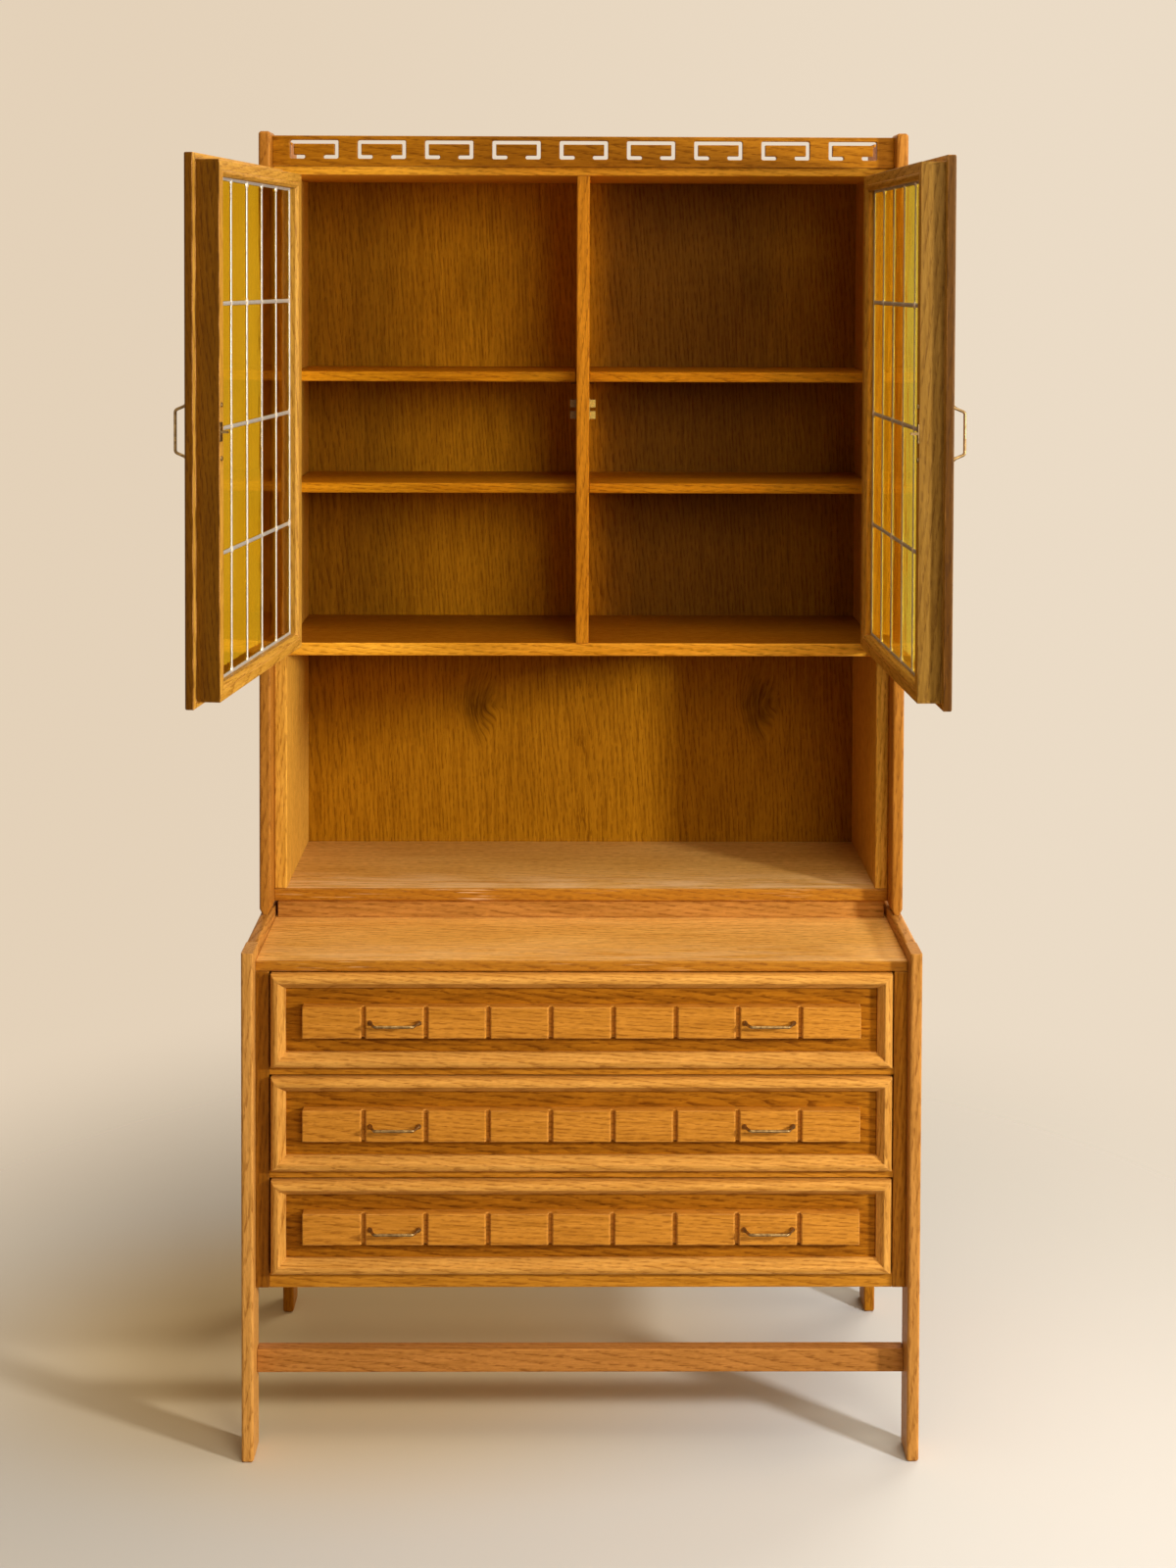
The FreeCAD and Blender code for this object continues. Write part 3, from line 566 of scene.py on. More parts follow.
def edged_board(node, tone, top_tint, edge_tint, run="x", gloss=polish, dusty=0.0):
    """A board with one tint on its front edge and another on its top (painted shade on the cupboard floor's
    top and on the chest sides' front edges); a dusty one is scratched in front.
    """
    material, tree, shader, place = started("oak_" + node)
    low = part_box(node)[0]
    along = grain_place(tree, place, run, middle(node), seed_of(node))
    y = add(tree, "ShaderNodeSeparateXYZ", {0: place}).outputs[1]
    edge = graded(tree, y, low.y + edge_fade[0], low.y + edge_fade[1])
    top = sums(tree, "SUBTRACT", 1.0, edge)
    marks = [(edge, edge_tint, "MULTIPLY"), (top, top_tint, "MULTIPLY")]
    if dusty:
        rubbed = graded(tree, noise(tree, place, polish_stretch), *polish_range)
        marks.append((sums(tree, "MULTIPLY", top, rubbed), polished, "MULTIPLY"))
        front = sums(tree, "SUBTRACT", graded(tree, y, low.y + dust_reach, low.y), edge, clamp=True)
        clouds = graded(tree, noise(tree, place, dust_stretch, detail=4.0), *dust_range)
        dust = sums(tree, "MULTIPLY", sums(tree, "MULTIPLY", front, clouds), dusty)
        lines = graded(tree, noise(tree, place, scratch_stretch), *scratch_range)
        gaps = graded(tree, noise(tree, place, gap_stretch), *gap_range)
        scratch = sums(tree, "MULTIPLY", sums(tree, "MULTIPLY", edge, lines), gaps)
        scratch = sums(tree, "MULTIPLY", scratch, scratch_share)
        marks += [(dust, scuffed, "MIX"), (scratch, scuffed, "MIX")]
    finish_oak(tree, shader, along, tone, edged_wear, gloss=gloss, marks=marks)
    dress(node, material)
    eased(node)


def oak_tiles(node):
    """A strip of tiles, each from another place in the log."""
    material, tree, shader, place = started("oak_" + node)
    low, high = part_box(node)
    pitch = (high.x - low.x + tile_groove) / tile_count
    x = add(tree, "ShaderNodeSeparateXYZ", {0: place}).outputs[0]
    index = sums(tree, "FLOOR", sums(tree, "DIVIDE", sums(tree, "SUBTRACT", x, low.x), pitch))
    step_along = sums(tree, "MULTIPLY", index, tile_step_along)
    step_across = sums(tree, "MULTIPLY", index, tile_step_across)
    shift = add(tree, "ShaderNodeCombineXYZ", {0: step_along, 1: step_across, 2: index}).outputs[0]
    along = grain_place(tree, place, "x", middle(node), seed_of(node))
    along = add(tree, "ShaderNodeVectorMath", {0: along, 1: shift}, operation="ADD").outputs[0]
    finish_oak(tree, shader, along, tile_honey, tile_wear)
    dress(node, material)


def leaf_spot(tree, x, z, spot, tail):
    """A mask round a knot in the leaf, wide at its top and drawn out to a tail below."""
    across = sums(tree, "SUBTRACT", x, spot[0])
    rise = sums(tree, "SUBTRACT", z, spot[1])
    below = sums(tree, "MAXIMUM", sums(tree, "MULTIPLY", rise, -tail), 0.0)
    across = sums(tree, "MULTIPLY", across, sums(tree, "ADD", below, 1.0))
    feeds = {0: across, 2: sums(tree, "MULTIPLY", rise, knot_flatness)}
    gap = add(tree, "ShaderNodeCombineXYZ", feeds).outputs[0]
    reach = add(tree, "ShaderNodeVectorMath", {0: gap}, operation="LENGTH").outputs["Value"]
    return graded(tree, reach, knot_reach, 0.0)


def oak_back():
    """The tall back: leaves of veneer laid side by side, each with the same figure and the same knot; its
    front face has painted shade in the niche and at both ends of the cupboard.
    """
    material, tree, shader, place = started("oak_upper_back")
    x, y, z = add(tree, "ShaderNodeSeparateXYZ", {0: place}).outputs
    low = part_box("upper_back")[0]
    cupboard_level = middle("cupboard_floor").z
    turns = sums(tree, "DIVIDE", sums(tree, "SUBTRACT", x, leaf_start), leaf_pitch)
    across = sums(tree, "MULTIPLY", sums(tree, "FRACT", turns), leaf_pitch)
    drift = sums(tree, "MULTIPLY", sums(tree, "FLOOR", turns), leaf_drift)
    knot = leaf_spot(tree, across, z, leaf_knot, knot_tail)
    smudge = leaf_spot(tree, across, z, leaf_smudge, smudge_tail)
    bent = sums(tree, "ADD", across, sums(tree, "MULTIPLY", knot, knot_bend))
    feeds = {0: z, 1: sums(tree, "SUBTRACT", bent, leaf_heart), 2: sums(tree, "ADD", drift, leaf_depth)}
    along = add(tree, "ShaderNodeCombineXYZ", feeds).outputs[0]
    streaks = graded(tree, noise(tree, along, streak_stretch), *streak_range, to_low=streak_least)
    dark = sums(tree, "MULTIPLY", sums(tree, "MULTIPLY", knot, streaks), knot_share)
    faint = sums(tree, "MULTIPLY", smudge, smudge_share)
    # Painted shade on the front face: darker in the niche, in the cupboard's right half (less at its far
    # right) and at its left end
    front = graded(tree, y, low.y + back_face_fade[0], low.y + back_face_fade[1])
    rise = graded(tree, z, cupboard_level - cupboard_fade, cupboard_level + cupboard_fade)
    above = sums(tree, "MULTIPLY", front, rise)
    in_niche = sums(tree, "SUBTRACT", front, above)
    shade_end = graded(tree, x, *far_shade_end, to_high=far_shade_loss)
    beside = sums(tree, "SUBTRACT", graded(tree, x, *far_shade_start), shade_end)
    far_side = sums(tree, "MULTIPLY", above, beside)
    near_side = sums(tree, "MULTIPLY", above, graded(tree, x, *near_shade))
    marks = (
        (dark, knot_brown, "MULTIPLY"),
        (faint, handled, "MULTIPLY"),
        (in_niche, niche_painted_shade, "MULTIPLY"),
        (far_side, far_side_painted_shade, "MULTIPLY"),
        (near_side, near_side_painted_shade, "MULTIPLY"),
    )
    finish_oak(tree, shader, along, old_varnish_and_painted_light, 0, pores=veneer_pores, gloss=bare_gloss, marks=marks)
    dress("upper_back", material)


def mitre_mask(tree, place, centre, half):
    """1 on the uprights of a mitred frame, 0 on its level members; half is half the frame's size."""
    feeds = {0: place, 1: centre}
    offset = add(tree, "ShaderNodeVectorMath", feeds, operation="SUBTRACT").outputs[0]
    x, _, z = add(tree, "ShaderNodeSeparateXYZ", {0: offset}).outputs
    beyond_x = sums(tree, "SUBTRACT", sums(tree, "ABSOLUTE", x), half.x)
    beyond_z = sums(tree, "SUBTRACT", sums(tree, "ABSOLUTE", z), half.z)
    return sums(tree, "GREATER_THAN", beyond_x, beyond_z)


def mitred_oak(node, low, high, turned=None, tone=honey, wear=moulding_wear, edge_painted_shades=()):
    """Four mitred lengths, with the grain along each one; a door's free edges are darkened with painted
    shade.
    """
    material, tree, shader, place = started("oak_" + node)
    if turned:
        feeds = {"Vector": place, "Rotation": turned.to_euler(), "Location": turned.to_translation()}
        place = add(tree, "ShaderNodeMapping", feeds).outputs[0]
    centre = (low + high) / 2
    upright = mitre_mask(tree, place, centre, (high - low) / 2)
    level_run = grain_place(tree, place, "x", centre, seed_of(node))
    upright_run = grain_place(tree, place, "z", centre, seed_of(node + "_upright"))
    feeds = {0: upright, 4: level_run, 5: upright_run}
    along = add(tree, "ShaderNodeMix", feeds, data_type="VECTOR").outputs[1]
    x = sums(tree, "ABSOLUTE", add(tree, "ShaderNodeSeparateXYZ", {0: place}).outputs[0])
    marks = []
    # Painted shade on the strips of a door's free edges
    for (start, end), tint in zip((door_free_edge, door_lip_edge), edge_painted_shades):
        past_start = graded(tree, x, start - door_edge_fade, start)
        past_end = graded(tree, x, end, end + door_edge_fade)
        marks.append((sums(tree, "SUBTRACT", past_start, past_end), tint, "MULTIPLY"))
    finish_oak(tree, shader, along, tone, wear, marks=marks)
    dress(node, material)


# Doors: how they stand open, from their hinges


def opened(side):
    """The turn that takes a place on the shut door to where it stands at rest."""
    hinge = next(joint for joint in frame["joints"] if joint["name"] == side + "_hinge")
    pivot = Matrix.Translation(hinge["pos_m"])
    angle = -math.radians(hinge["range_deg"][0])
    return pivot @ Matrix.Rotation(angle, 4, Vector(hinge["axis"])) @ pivot.inverted()


def shut_box(node, side):
    """A door part's lowest and highest corners as if the door were shut."""
    back = opened(side).inverted()
    corners = [back @ vertex.co for vertex in frame["nodes"][node].data.vertices]
    low = Vector(min(corner[axis] for corner in corners) for axis in range(3))
    high = Vector(max(corner[axis] for corner in corners) for axis in range(3))
    return low, high


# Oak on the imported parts

for node in ("base_bottom", "drawer_dividers"):
    oak_board(node, "x")
oak_board("front_stretcher", "x", rail_honey)
oak_board("plinth", "x", dull_honey)
oak_board("frieze", "x", frieze_honey, gloss=matt)
oak_board("top_board", "x", edge_painted_light_honey, gloss=matt)
for node in ("lower_shelves", "upper_shelves"):
    edged_board(node, shelf_painted_light_honey, shelf_top, untinted, gloss=matt)
edged_board("cupboard_floor", edge_painted_light_honey, cupboard_floor_painted_shade, untinted, gloss=matt)
edged_board("counter_top", worn_honey, untinted, counter_edge, dusty=counter_dust)
edged_board("niche_floor", worn_honey, niche_floor_top, niche_floor_edge, dusty=niche_dust)
oak_board("front_leg_left", "z", pale_leg, leg_wear)
oak_board("front_leg_right", "z", dull_honey, leg_wear)
oak_board("back_legs", "z", frieze_honey, leg_wear)
for node in ("upper_front_post_left", "upper_front_post_right"):
    oak_board(node, "z", post_honey, leg_wear)
oak_board("upper_back_posts", "z")
edged_board("base_side_left", honey, untinted, left_side_painted_shade, "z", satin)
edged_board("base_side_right", honey, untinted, right_side_painted_shade, "z", satin)
for node in ("upper_side_left", "upper_side_right"):
    oak_board(node, "z", side_honey, gloss=matt)
oak_board("partition", "z", partition_painted_light_honey)
oak_board("base_back", "z")
oak_back()
oak_board("base_frame_rails", "y", dull_honey)
for node in ("upper_frame_rails", "drawer_runners"):
    oak_board(node, "y")
oak_board("shelf_pins", "x", pin_painted_shade, 0.0)
for drawer in drawers:
    oak_board(drawer + "_front", "x", panel_painted_shade_honey, gloss=matt, pores=open_pores)
    oak_tiles(drawer + "_tiles")
    oak_board(drawer + "_box", "y")
    low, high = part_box(drawer + "_moulding")
    mitred_oak(drawer + "_moulding", low, high, tone=rubbed_honey)
for door in doors:
    turned = opened(door).inverted()
    frame_box = shut_box(door + "_frame", door)
    mitred_oak(door + "_frame", *frame_box, turned, door_honey, door_wear, door_edge_painted_shade[door])
    beads_box = shut_box(door + "_beads", door)
    mitred_oak(door + "_beads", *beads_box, turned, door_honey, door_wear)


# Metals and glass: each pair is a bright colour and a duller or deeper one

lead_tones = ((0.50, 0.485, 0.44, 1), (0.38, 0.365, 0.32, 1))
solder_tones = ((0.80, 0.78, 0.72, 1), (0.56, 0.54, 0.48, 1))
bronze_tones = ((0.34, 0.23, 0.10, 1), (0.17, 0.105, 0.045, 1))
brass_tones = ((0.46, 0.30, 0.075, 1), (0.26, 0.16, 0.045, 1))
catch_tones = ((0.52, 0.36, 0.09, 1), (0.34, 0.22, 0.06, 1))
# Painted shade for the ball catches on the left face of the partition
shaded_catch = (0.10, 0.05, 0.02, 1)
catch_fade = 0.005
metal_strength = 0.05
metal_relief = 0.0004
amber_tones = ((0.90, 0.57, 0.025, 1), (0.86, 0.51, 0.015, 1))
# A paler copy of the amber for the right door's glass: painted light, as that door is lit from the right
painted_light_amber_tones = ((1.0, 0.78, 0.09, 1), (0.97, 0.70, 0.06, 1))
amber_light = (0.52, 0.38, 0.13, 1)
glass_roughness = 0.04
glass_ior = 1.2
glass_strength = 0.2
glass_relief = 0.002
glass_waves = (26, 26, 9)
glass_streaks = (75, 75, 14)
glass_drift = (7, 7, 4)
glass_drift_range = (0.35, 0.7)


def metal(name, tones, tarnish, metallic=1.0, rough=0.2, left_painted_shade=None):
    """Metal with a patina; the last argument, if given, paints shade on the pieces left of the partition."""
    material, tree, shader, place = started(name)
    feeds = {"Place": place, "Bright": tones[0], "Dull": tones[1], "Tarnish": tarnish, "Rough": rough}
    patina = placed(tree, patina_group, feeds)
    colour = patina["Colour"]
    if left_painted_shade:
        x = add(tree, "ShaderNodeSeparateXYZ", {0: place}).outputs[0]
        colour = mixed(tree, graded(tree, x, catch_fade, -catch_fade), colour, left_painted_shade)
    tree.links.new(colour, shader.inputs["Base Color"])
    tree.links.new(patina["Roughness"], shader.inputs["Roughness"])
    feeds = {"Height": patina["Height"], "Strength": metal_strength, "Distance": metal_relief}
    tree.links.new(add(tree, "ShaderNodeBump", feeds).outputs[0], shader.inputs["Normal"])
    shader.inputs["Metallic"].default_value = metallic
    return material


def amber_glass(name, tones):
    """Drawn glass: amber, with slow waves and upright streaks, letting tinted light through."""
    material, tree, shader, place = started(name)
    waves = noise(tree, place, glass_waves)
    streaks = noise(tree, place, glass_streaks, detail=1.0)
    height = weighed(tree, 0.0, (waves, 0.8), (streaks, 0.2))
    feeds = {"Height": height, "Strength": glass_strength, "Distance": glass_relief}
    tree.links.new(add(tree, "ShaderNodeBump", feeds).outputs[0], shader.inputs["Normal"])
    drift = graded(tree, noise(tree, place, glass_drift), *glass_drift_range)
    tree.links.new(mixed(tree, drift, *tones), shader.inputs["Base Color"])
    shader.inputs["Transmission Weight"].default_value = 1.0
    shader.inputs["Roughness"].default_value = glass_roughness
    shader.inputs["IOR"].default_value = glass_ior
    clear = add(tree, "ShaderNodeBsdfTransparent", {"Color": amber_light})
    path = add(tree, "ShaderNodeLightPath").outputs
    soft = sums(tree, "MAXIMUM", path["Is Shadow Ray"], path["Is Diffuse Ray"])
    feeds = {0: soft, 1: shader.outputs[0], 2: clear.outputs[0]}
    blend = add(tree, "ShaderNodeMixShader", feeds)
    tree.links.new(blend.outputs[0], tree.nodes["Material Output"].inputs["Surface"])
    return material


lead = metal("lead", lead_tones, tarnish=0.35, metallic=0.35, rough=0.3)
solder = metal("solder", solder_tones, tarnish=0.3, metallic=0.4)
bronze = metal("bronze", bronze_tones, tarnish=0.5)
brass = metal("brass", brass_tones, tarnish=0.35)
catch_brass = metal("catch_brass", catch_tones, tarnish=0.3, left_painted_shade=shaded_catch)
glass = {
    "left_door": amber_glass("amber_glass", amber_tones),
    "right_door": amber_glass("painted_light_amber_glass", painted_light_amber_tones),
}

for door in doors:
    dress(door + "_strike", bronze)
    dress(door + "_hinge_leaves", brass)
dress("fixed_hinges", brass)
dress("ball_catches", catch_brass)


# Modelling helpers


def named(name):
    """The object just made, named, with its place in its mesh."""
    piece = bpy.context.object
    piece.name = name
    piece.data.name = name
    bpy.ops.object.transform_apply(location=True, rotation=True, scale=True)
    return piece


def block(name, low, high):
    """A block between two corners, to be shaped further."""
    bpy.ops.mesh.primitive_cube_add(size=1, location=(low + high) / 2)
    bpy.context.object.scale = high - low
    return named(name)


def choose_edges(piece, wanted):
    """Enters edit mode with those edges selected for whose two ends wanted is true."""
    bpy.context.tool_settings.mesh_select_mode = (False, True, False)
    mesh = piece.data
    for items in (mesh.vertices, mesh.edges, mesh.polygons):
        for item in items:
            item.select = False
    for edge in mesh.edges:
        edge.select = wanted(*(mesh.vertices[i].co for i in edge.vertices))
    bpy.ops.object.mode_set(mode="EDIT")


def done_editing():
    """Leaves edit mode."""
    bpy.ops.object.mode_set(mode="OBJECT")


def joined(name, pieces):
    """Several pieces as one object."""
    bpy.ops.object.select_all(action="DESELECT")
    for piece in pieces:
        piece.select_set(True)
    bpy.context.view_layer.objects.active = pieces[0]
    bpy.ops.object.join()
    pieces[0].name = name
    pieces[0].data.name = name
    return pieces[0]


def copied(piece, name, move):
    """A copy with its own mesh, moved by a matrix that goes into the mesh."""
    twin = piece.copy()
    twin.data = piece.data.copy()
    twin.name = name
    bpy.context.scene.collection.objects.link(twin)
    settled(twin, move)
    return twin


def settled(piece, move):
    """Moves a piece by a matrix and puts its place in its mesh."""
    bpy.ops.object.select_all(action="DESELECT")
    piece.select_set(True)
    bpy.context.view_layer.objects.active = piece
    piece.matrix_world = move
    bpy.ops.object.transform_apply(location=True, rotation=True, scale=True)


def smoothed(piece, angle=sharp_angle):
    """Shades a piece smooth, apart from edges sharper than the angle."""
    bpy.ops.object.select_all(action="DESELECT")
    piece.select_set(True)
    bpy.context.view_layer.objects.active = piece
    bpy.ops.object.shade_smooth_by_angle(angle=angle)


def shown(piece, body, material, node=None):
    """Gives a piece its finish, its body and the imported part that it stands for."""
    piece.data.materials.clear()
    piece.data.materials.append(material)
    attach(piece, body)
    if node:
        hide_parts(node)


# Pulls


def pull_route():
    """Middle, heading and radius of the rod from foot to foot, in the pull's own plane."""
    lean = math.atan2((pull_span - pull_bar) / 2, pull_out)
    turn = math.pi / 2 - lean
    ahead = Vector((math.sin(lean), -math.cos(lean), 0))
    foot = Vector((-pull_span / 2, 0, 0))
    corner = Vector((-pull_bar / 2, -pull_out, 0))
    bend_start = corner - ahead * pull_bend * math.tan(turn / 2)
    bend_centre = bend_start + Vector((math.cos(lean), math.sin(lean), 0)) * pull_bend
    route = [(foot, 0.0, pull_foot)]
    route.append((foot + ahead * foot_thick, lean, pull_foot))
    route.append((foot + ahead * flare_length, lean, pull_rod))
    for step in range(pull_bend_steps + 1):
        heading = lean + turn * step / pull_bend_steps
        outward = Vector((-math.cos(heading), -math.sin(heading), 0))
        route.append((bend_centre + outward * pull_bend, heading, pull_rod))
    far = [(Vector((-place.x, place.y, 0)), math.pi - heading, radius) for place, heading, radius in route]
    return route + far[::-1]


def bent_pull():
    """The rod drawn out from one flared foot to the other, bar along X, standing out towards -Y."""
    route = pull_route()
    start = route[0][0]
    flat = (math.pi / 2, 0, 0)
    bpy.ops.mesh.primitive_circle_add(
        vertices=rod_sides, radius=pull_foot, fill_type="NGON", location=start, rotation=flat
    )
    pull = named("pull")
    bpy.ops.object.mode_set(mode="EDIT")
    bpy.ops.mesh.select_all(action="SELECT")
    for (place, heading, radius), (place_next, heading_next, radius_next) in zip(route, route[1:]):
        bpy.ops.mesh.extrude_region_move(TRANSFORM_OT_translate={"value": place_next - place})
        swell = (radius_next / radius,) * 3
        bpy.ops.transform.resize(value=swell, center_override=place_next)
        turn = heading - heading_next
        bpy.ops.transform.rotate(value=turn, orient_axis="Z", center_override=place_next)
    bpy.ops.mesh.select_all(action="SELECT")
    bpy.ops.mesh.normals_make_consistent(inside=False)
    done_editing()
    smoothed(pull)
    return pull


def pull_screw():
    """A round screw head with a driver's hollow, its seat at the origin and its top towards +Y."""
    bpy.ops.mesh.primitive_cylinder_add(
        vertices=screw_sides,
        radius=screw_head,
        depth=screw_head_thick,
        location=(0, screw_head_thick / 2, 0),
        rotation=(math.pi / 2, 0, 0),
    )
    head = named("screw")
    rim = screw_head_thick * 0.999
    choose_edges(head, lambda a, b: a.y > rim and b.y > rim)
    bpy.ops.mesh.bevel(offset=screw_round, segments=round_steps, affect="EDGES")
    done_editing()
    bpy.context.tool_settings.mesh_select_mode = (False, False, True)
    for face in head.data.polygons:
        face.select = face.normal.y > 0.99 and face.center.y > rim
    bpy.ops.object.mode_set(mode="EDIT")
    bpy.ops.mesh.inset(thickness=screw_hollow_rim)
    bpy.ops.mesh.extrude_region_move(TRANSFORM_OT_translate={"value": (0, -screw_head_thick / 2, 0)})
    done_editing()
    smoothed(head)
    return head


def fitted_pull(name, move, depth):
    """A pull and its two screws, whose heads lie on the back of the board, depth behind the feet."""
    pieces = [copied(plain_pull, name, move)]
    for way in (-1, 1):
        seat = Matrix.Translation((way * pull_span / 2, depth, 0))
        pieces.append(copied(plain_screw, name + "_screw", move @ seat))
    return pieces


plain_pull = bent_pull()
plain_screw = pull_screw()
for drawer in drawers:
    node = drawer + "_pulls"
    low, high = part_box(node)
    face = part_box(drawer + "_tiles")[0].y
    level = (low.z + high.z) / 2
    out = high.x - pull_span / 2 - pull_foot
    pieces = []
    for side in (-out, out):
        move = Matrix.Translation((side, face, level))
        pieces += fitted_pull(node, move, high.y - screw_head_thick - face)
    shown(joined(drawer + "_bronze_pulls", pieces), drawer, bronze, node)
for door in doors:
    node = door + "_pull"
    low, high = shut_box(node, door)
    face = shut_box(door + "_frame", door)[0].y
    spot = Vector(((low.x + high.x) / 2, face, (low.z + high.z) / 2))
    upright = Matrix.Rotation(math.pi / 2, 4, "Y")
    move = opened(door) @ Matrix.Translation(spot) @ upright
    pieces = fitted_pull(node, move, high.y - screw_head_thick - face)
    shown(joined(door + "_bronze_pull", pieces), door, bronze, node)
for piece in (plain_pull, plain_screw):
    bpy.data.objects.remove(piece)


# Leaded glass


def spread(low, high, count, gap):
    """Start and end of count equal cells between low and high, gap apart."""
    cell = (high - low - (count - 1) * gap) / count
    starts = [low + i * (cell + gap) for i in range(count)]
    return [(start, start + cell) for start in starts]


def came_bar(name, low, high):
    """A length of lead with round long edges."""
    bar = block(name, low, high)
    size = high - low
    axis = 0 if size.x > size.z else 2
    choose_edges(bar, lambda a, b: abs(a[axis] - b[axis]) > size[axis] / 2)
    bpy.ops.mesh.bevel(offset=came_round, segments=round_steps, affect="EDGES")
    done_editing()
    return bar


def came_lattice(door, cells_x, cells_z, low, high):
    """Border, uprights and level bars of one door's lead."""
    inner_low = Vector((cells_x[0][0], low.y, cells_z[0][0]))
    inner_high = Vector((cells_x[-1][1], high.y, cells_z[-1][1]))
    bars = [
        (low, Vector((inner_low.x, high.y, high.z))),
        (Vector((inner_high.x, low.y, low.z)), high),
        (Vector((inner_low.x, low.y, low.z)), Vector((inner_high.x, high.y, inner_low.z))),
        (Vector((inner_low.x, low.y, inner_high.z)), Vector((inner_high.x, high.y, high.z))),
    ]
    for (_, left), (right, _) in zip(cells_x, cells_x[1:]):
        bars.append((Vector((left, low.y, inner_low.z)), Vector((right, high.y, inner_high.z))))
    for (_, bottom), (top, _) in zip(cells_z, cells_z[1:]):
        bars.append((Vector((inner_low.x, low.y, bottom)), Vector((inner_high.x, high.y, top))))
    pieces = [came_bar(door + "_came", *ends) for ends in bars]
    return joined(door + "_lead", pieces)


def solder_knobs(door, cells_x, cells_z, low, high):
    """Uneven drops of solder where the leads cross or meet the border."""
    lines_x = [(left + right) / 2 for (_, left), (right, _) in zip(cells_x, cells_x[1:])]
    lines_z = [(bottom + top) / 2 for (_, bottom), (top, _) in zip(cells_z, cells_z[1:])]
    spots = [(x, z) for x in lines_x for z in lines_z]
    spots += [(x, z) for x in lines_x for z in (cells_z[0][0], cells_z[-1][1])]
    spots += [(x, z) for x in (cells_x[0][0], cells_x[-1][1]) for z in lines_z]
    bpy.ops.mesh.primitive_uv_sphere_add(segments=solder_sides, ring_count=solder_rings, radius=1)
    drop = named("drop")
    smoothed(drop, math.pi)
    pieces = []
    for index, (x, z) in enumerate(spots):
        seed = seed_of(f"{door}_solder_{index}")
        size = solder_size * (solder_least + solder_spread * seed)
        spot = Matrix.Translation((x, (low.y + high.y) / 2, z))
        move = spot @ Matrix.Rotation(solder_turn * seed, 4, "Y")
        pieces.append(copied(drop, door + "_drop", move @ Matrix.Diagonal((*size, 1))))
    bpy.data.objects.remove(drop)
    return joined(door + "_solder", pieces)


def wavy_panes(door, cells_x, cells_z, level):
    """One pane per cell, held a little way into the leads, with slow waves in its faces."""
    pieces = []
    for row, (bottom, top) in enumerate(cells_z):
        for column, (left, right) in enumerate(cells_x):
            low = Vector((left - pane_bite, level - pane_thick / 2, bottom - pane_bite))
            high = Vector((right + pane_bite, level + pane_thick / 2, top + pane_bite))
            pane = block(door + "_pane", low, high)
            bpy.ops.object.mode_set(mode="EDIT")
            bpy.ops.mesh.select_all(action="SELECT")
            bpy.ops.mesh.subdivide(number_cuts=pane_cuts)
            seed = 1 + row * columns + column
            bpy.ops.transform.vertex_random(offset=pane_wave, seed=seed)
            done_editing()
            pieces.append(pane)
    return joined(door + "_glass", pieces)


for door in doors:
    low, high = shut_box(door + "_cames", door)
    cells_x = spread(low.x + border_width, high.x - border_width, columns, came_width)
    cells_z = spread(low.z + border_width, high.z - border_width, rows, came_width)
    leads = came_lattice(door, cells_x, cells_z, low, high)
    drops = solder_knobs(door, cells_x, cells_z, low, high)
    panes = wavy_panes(door, cells_x, cells_z, (low.y + high.y) / 2)
    for piece in (leads, drops, panes):
        settled(piece, opened(door))
        smoothed(piece)
    shown(leads, door, lead, door + "_cames")
    shown(drops, door, solder)
    shown(panes, door, glass[door], door + "_panes")


# Floor, backdrop, lights and camera


def pale_floor():
    """A pale floor with a painted warm shade under the chest, that fades into the backdrop."""
    bpy.ops.mesh.primitive_circle_add(vertices=floor_sides, radius=floor_radius, fill_type="NGON")
    floor = bpy.context.object
    floor.name = "floor"
    material, tree, shader, place = started("pale_floor")
    cloudy = noise(tree, place, floor_cloud_stretch)
    colour = mixed(tree, cloudy, floor_colour, floor_cloud)
    # Painted warm shade: the colour turns warm round a spot under the chest and to its left
    feeds = {0: place, 1: floor_shade_place}
    offset = add(tree, "ShaderNodeVectorMath", feeds, operation="SUBTRACT").outputs[0]
    feeds = {0: offset, 1: floor_shade_reach}
    offset = add(tree, "ShaderNodeVectorMath", feeds, operation="DIVIDE").outputs[0]
    gap = add(tree, "ShaderNodeVectorMath", {0: offset}, operation="LENGTH").outputs["Value"]
    colour = mixed(tree, graded(tree, gap, 1.0, floor_shade_core), colour, floor_painted_shade)
    tree.links.new(colour, shader.inputs["Base Color"])
    shader.inputs["Roughness"].default_value = floor_roughness
    reach = add(tree, "ShaderNodeVectorMath", {0: place}, operation="LENGTH").outputs["Value"]
    fade = graded(tree, reach, floor_fade_start, floor_fade_end)
    feeds = {0: fade, 1: shader.outputs[0], 2: add(tree, "ShaderNodeBsdfTransparent").outputs[0]}
    blend = add(tree, "ShaderNodeMixShader", feeds)
    tree.links.new(blend.outputs[0], tree.nodes["Material Output"].inputs["Surface"])
    floor.data.materials.append(material)


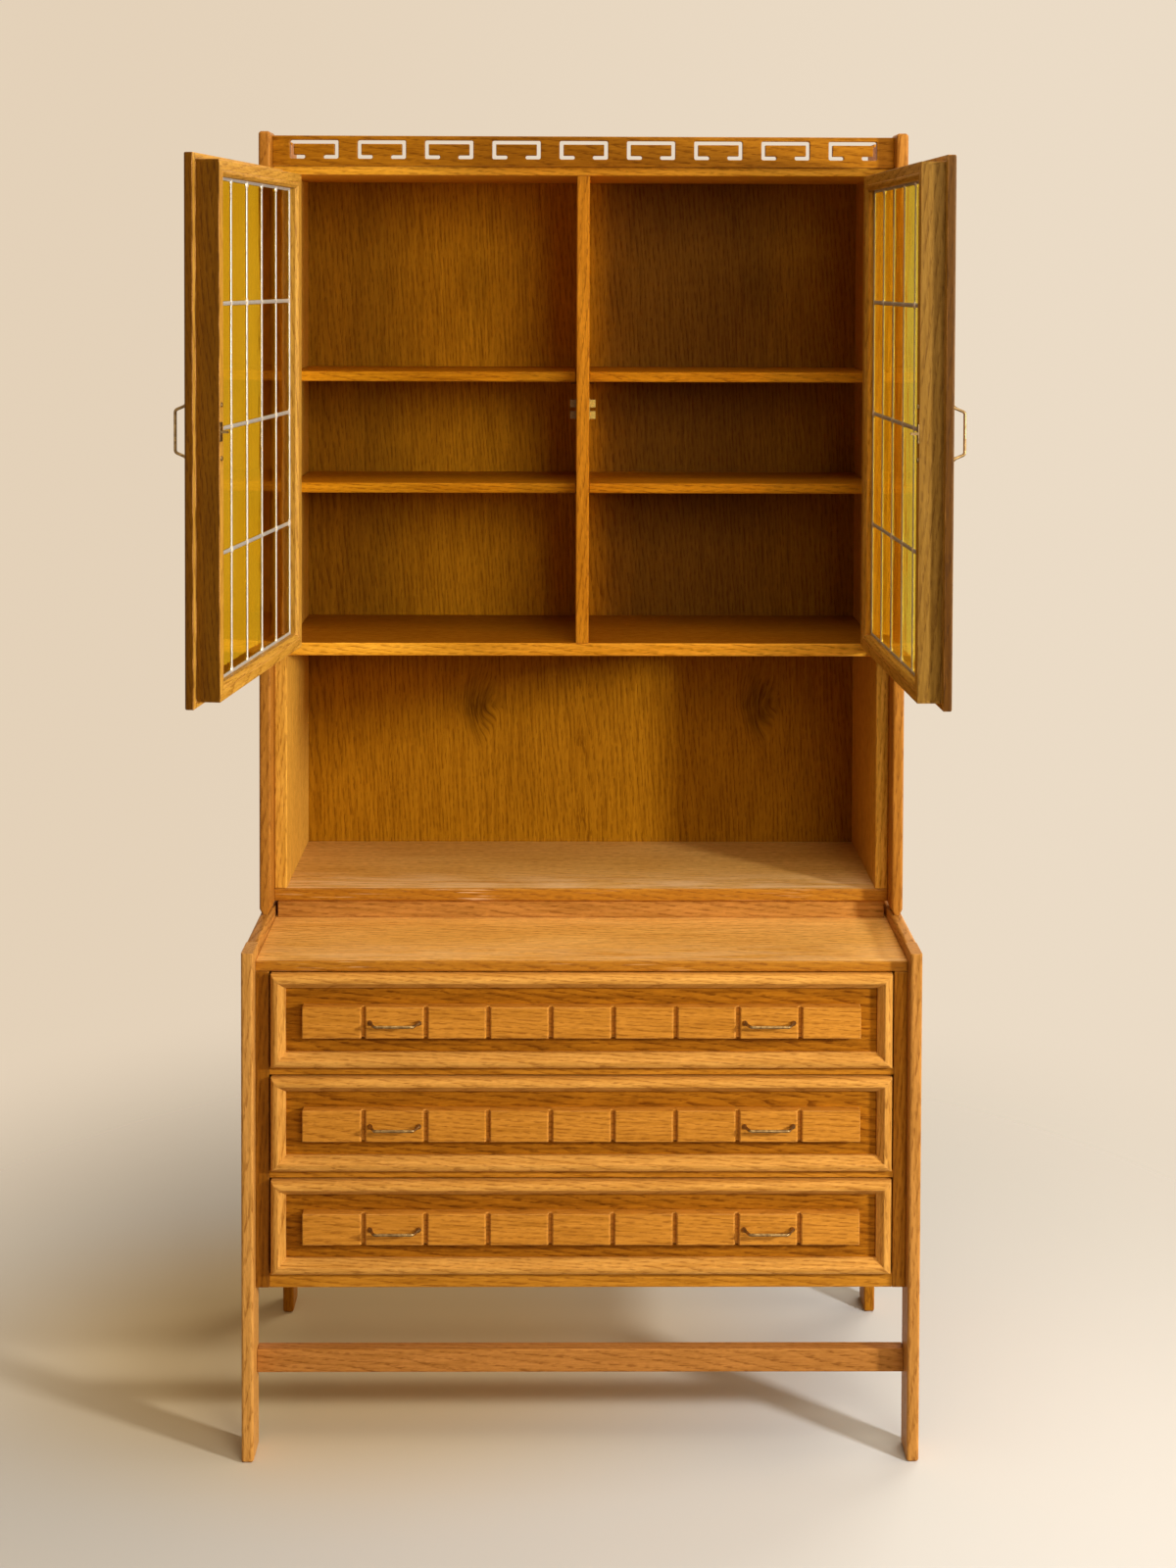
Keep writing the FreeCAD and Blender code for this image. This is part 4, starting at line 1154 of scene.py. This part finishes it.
def pale_room():
    """Soft light from all round; the camera, metal and glass see the backdrop's colour."""
    world = bpy.data.worlds.new("pale_room")
    bpy.context.scene.world = world
    world.use_nodes = True
    tree = world.node_tree
    soft = tree.nodes["Background"]
    soft.inputs["Color"].default_value = room_light
    soft.inputs["Strength"].default_value = room_strength
    heading = add(tree, "ShaderNodeTexCoord").outputs["Generated"]
    x = add(tree, "ShaderNodeSeparateXYZ", {0: heading}).outputs[0]
    tone = mixed(tree, graded(tree, x, -backdrop_turn, backdrop_turn), backdrop_left, backdrop_right)
    backdrop = add(tree, "ShaderNodeBackground", {"Color": tone, "Strength": 1.0})
    path = add(tree, "ShaderNodeLightPath").outputs
    seen = sums(tree, "MAXIMUM", path["Is Camera Ray"], path["Is Glossy Ray"])
    seen = sums(tree, "MAXIMUM", seen, path["Is Transmission Ray"])
    blend = add(tree, "ShaderNodeMixShader", {0: seen, 1: soft.outputs[0], 2: backdrop.outputs[0]})
    tree.links.new(blend.outputs[0], tree.nodes["World Output"].inputs["Surface"])


def area_light(name, place, aim, size, power, colour):
    """A square lamp that faces its aim and that the camera doesn't see."""
    bpy.ops.object.light_add(type="AREA", location=place)
    lamp = bpy.context.object
    lamp.name = name
    lamp.data.size = size
    lamp.data.energy = power
    lamp.data.color = colour
    lamp.rotation_euler = (place - aim).to_track_quat("Z", "Y").to_euler()
    lamp.visible_camera = False


def photo_camera():
    """The photograph's camera, with its frame shifted down as the photograph's is."""
    camera = bpy.data.cameras.new("photo_camera")
    camera.sensor_fit = "HORIZONTAL"
    camera.sensor_width = sensor_width
    camera.lens = sensor_width * photo_focal / photo_width
    camera.shift_y = -photo_drop / photo_width
    holder = bpy.data.objects.new("photo_camera", camera)
    bpy.context.scene.collection.objects.link(holder)
    turn = Matrix.Rotation(camera_yaw, 4, "Z") @ Matrix.Rotation(math.pi / 2 + camera_pitch, 4, "X")
    turn = turn @ Matrix.Rotation(camera_roll, 4, "Z")
    holder.matrix_world = Matrix.Translation(camera_place) @ turn
    bpy.context.scene.camera = holder


pale_floor()
pale_room()
for name, lamp in lamps.items():
    area_light(name, **lamp)
photo_camera()
bpy.context.scene.view_settings.view_transform = "Standard"
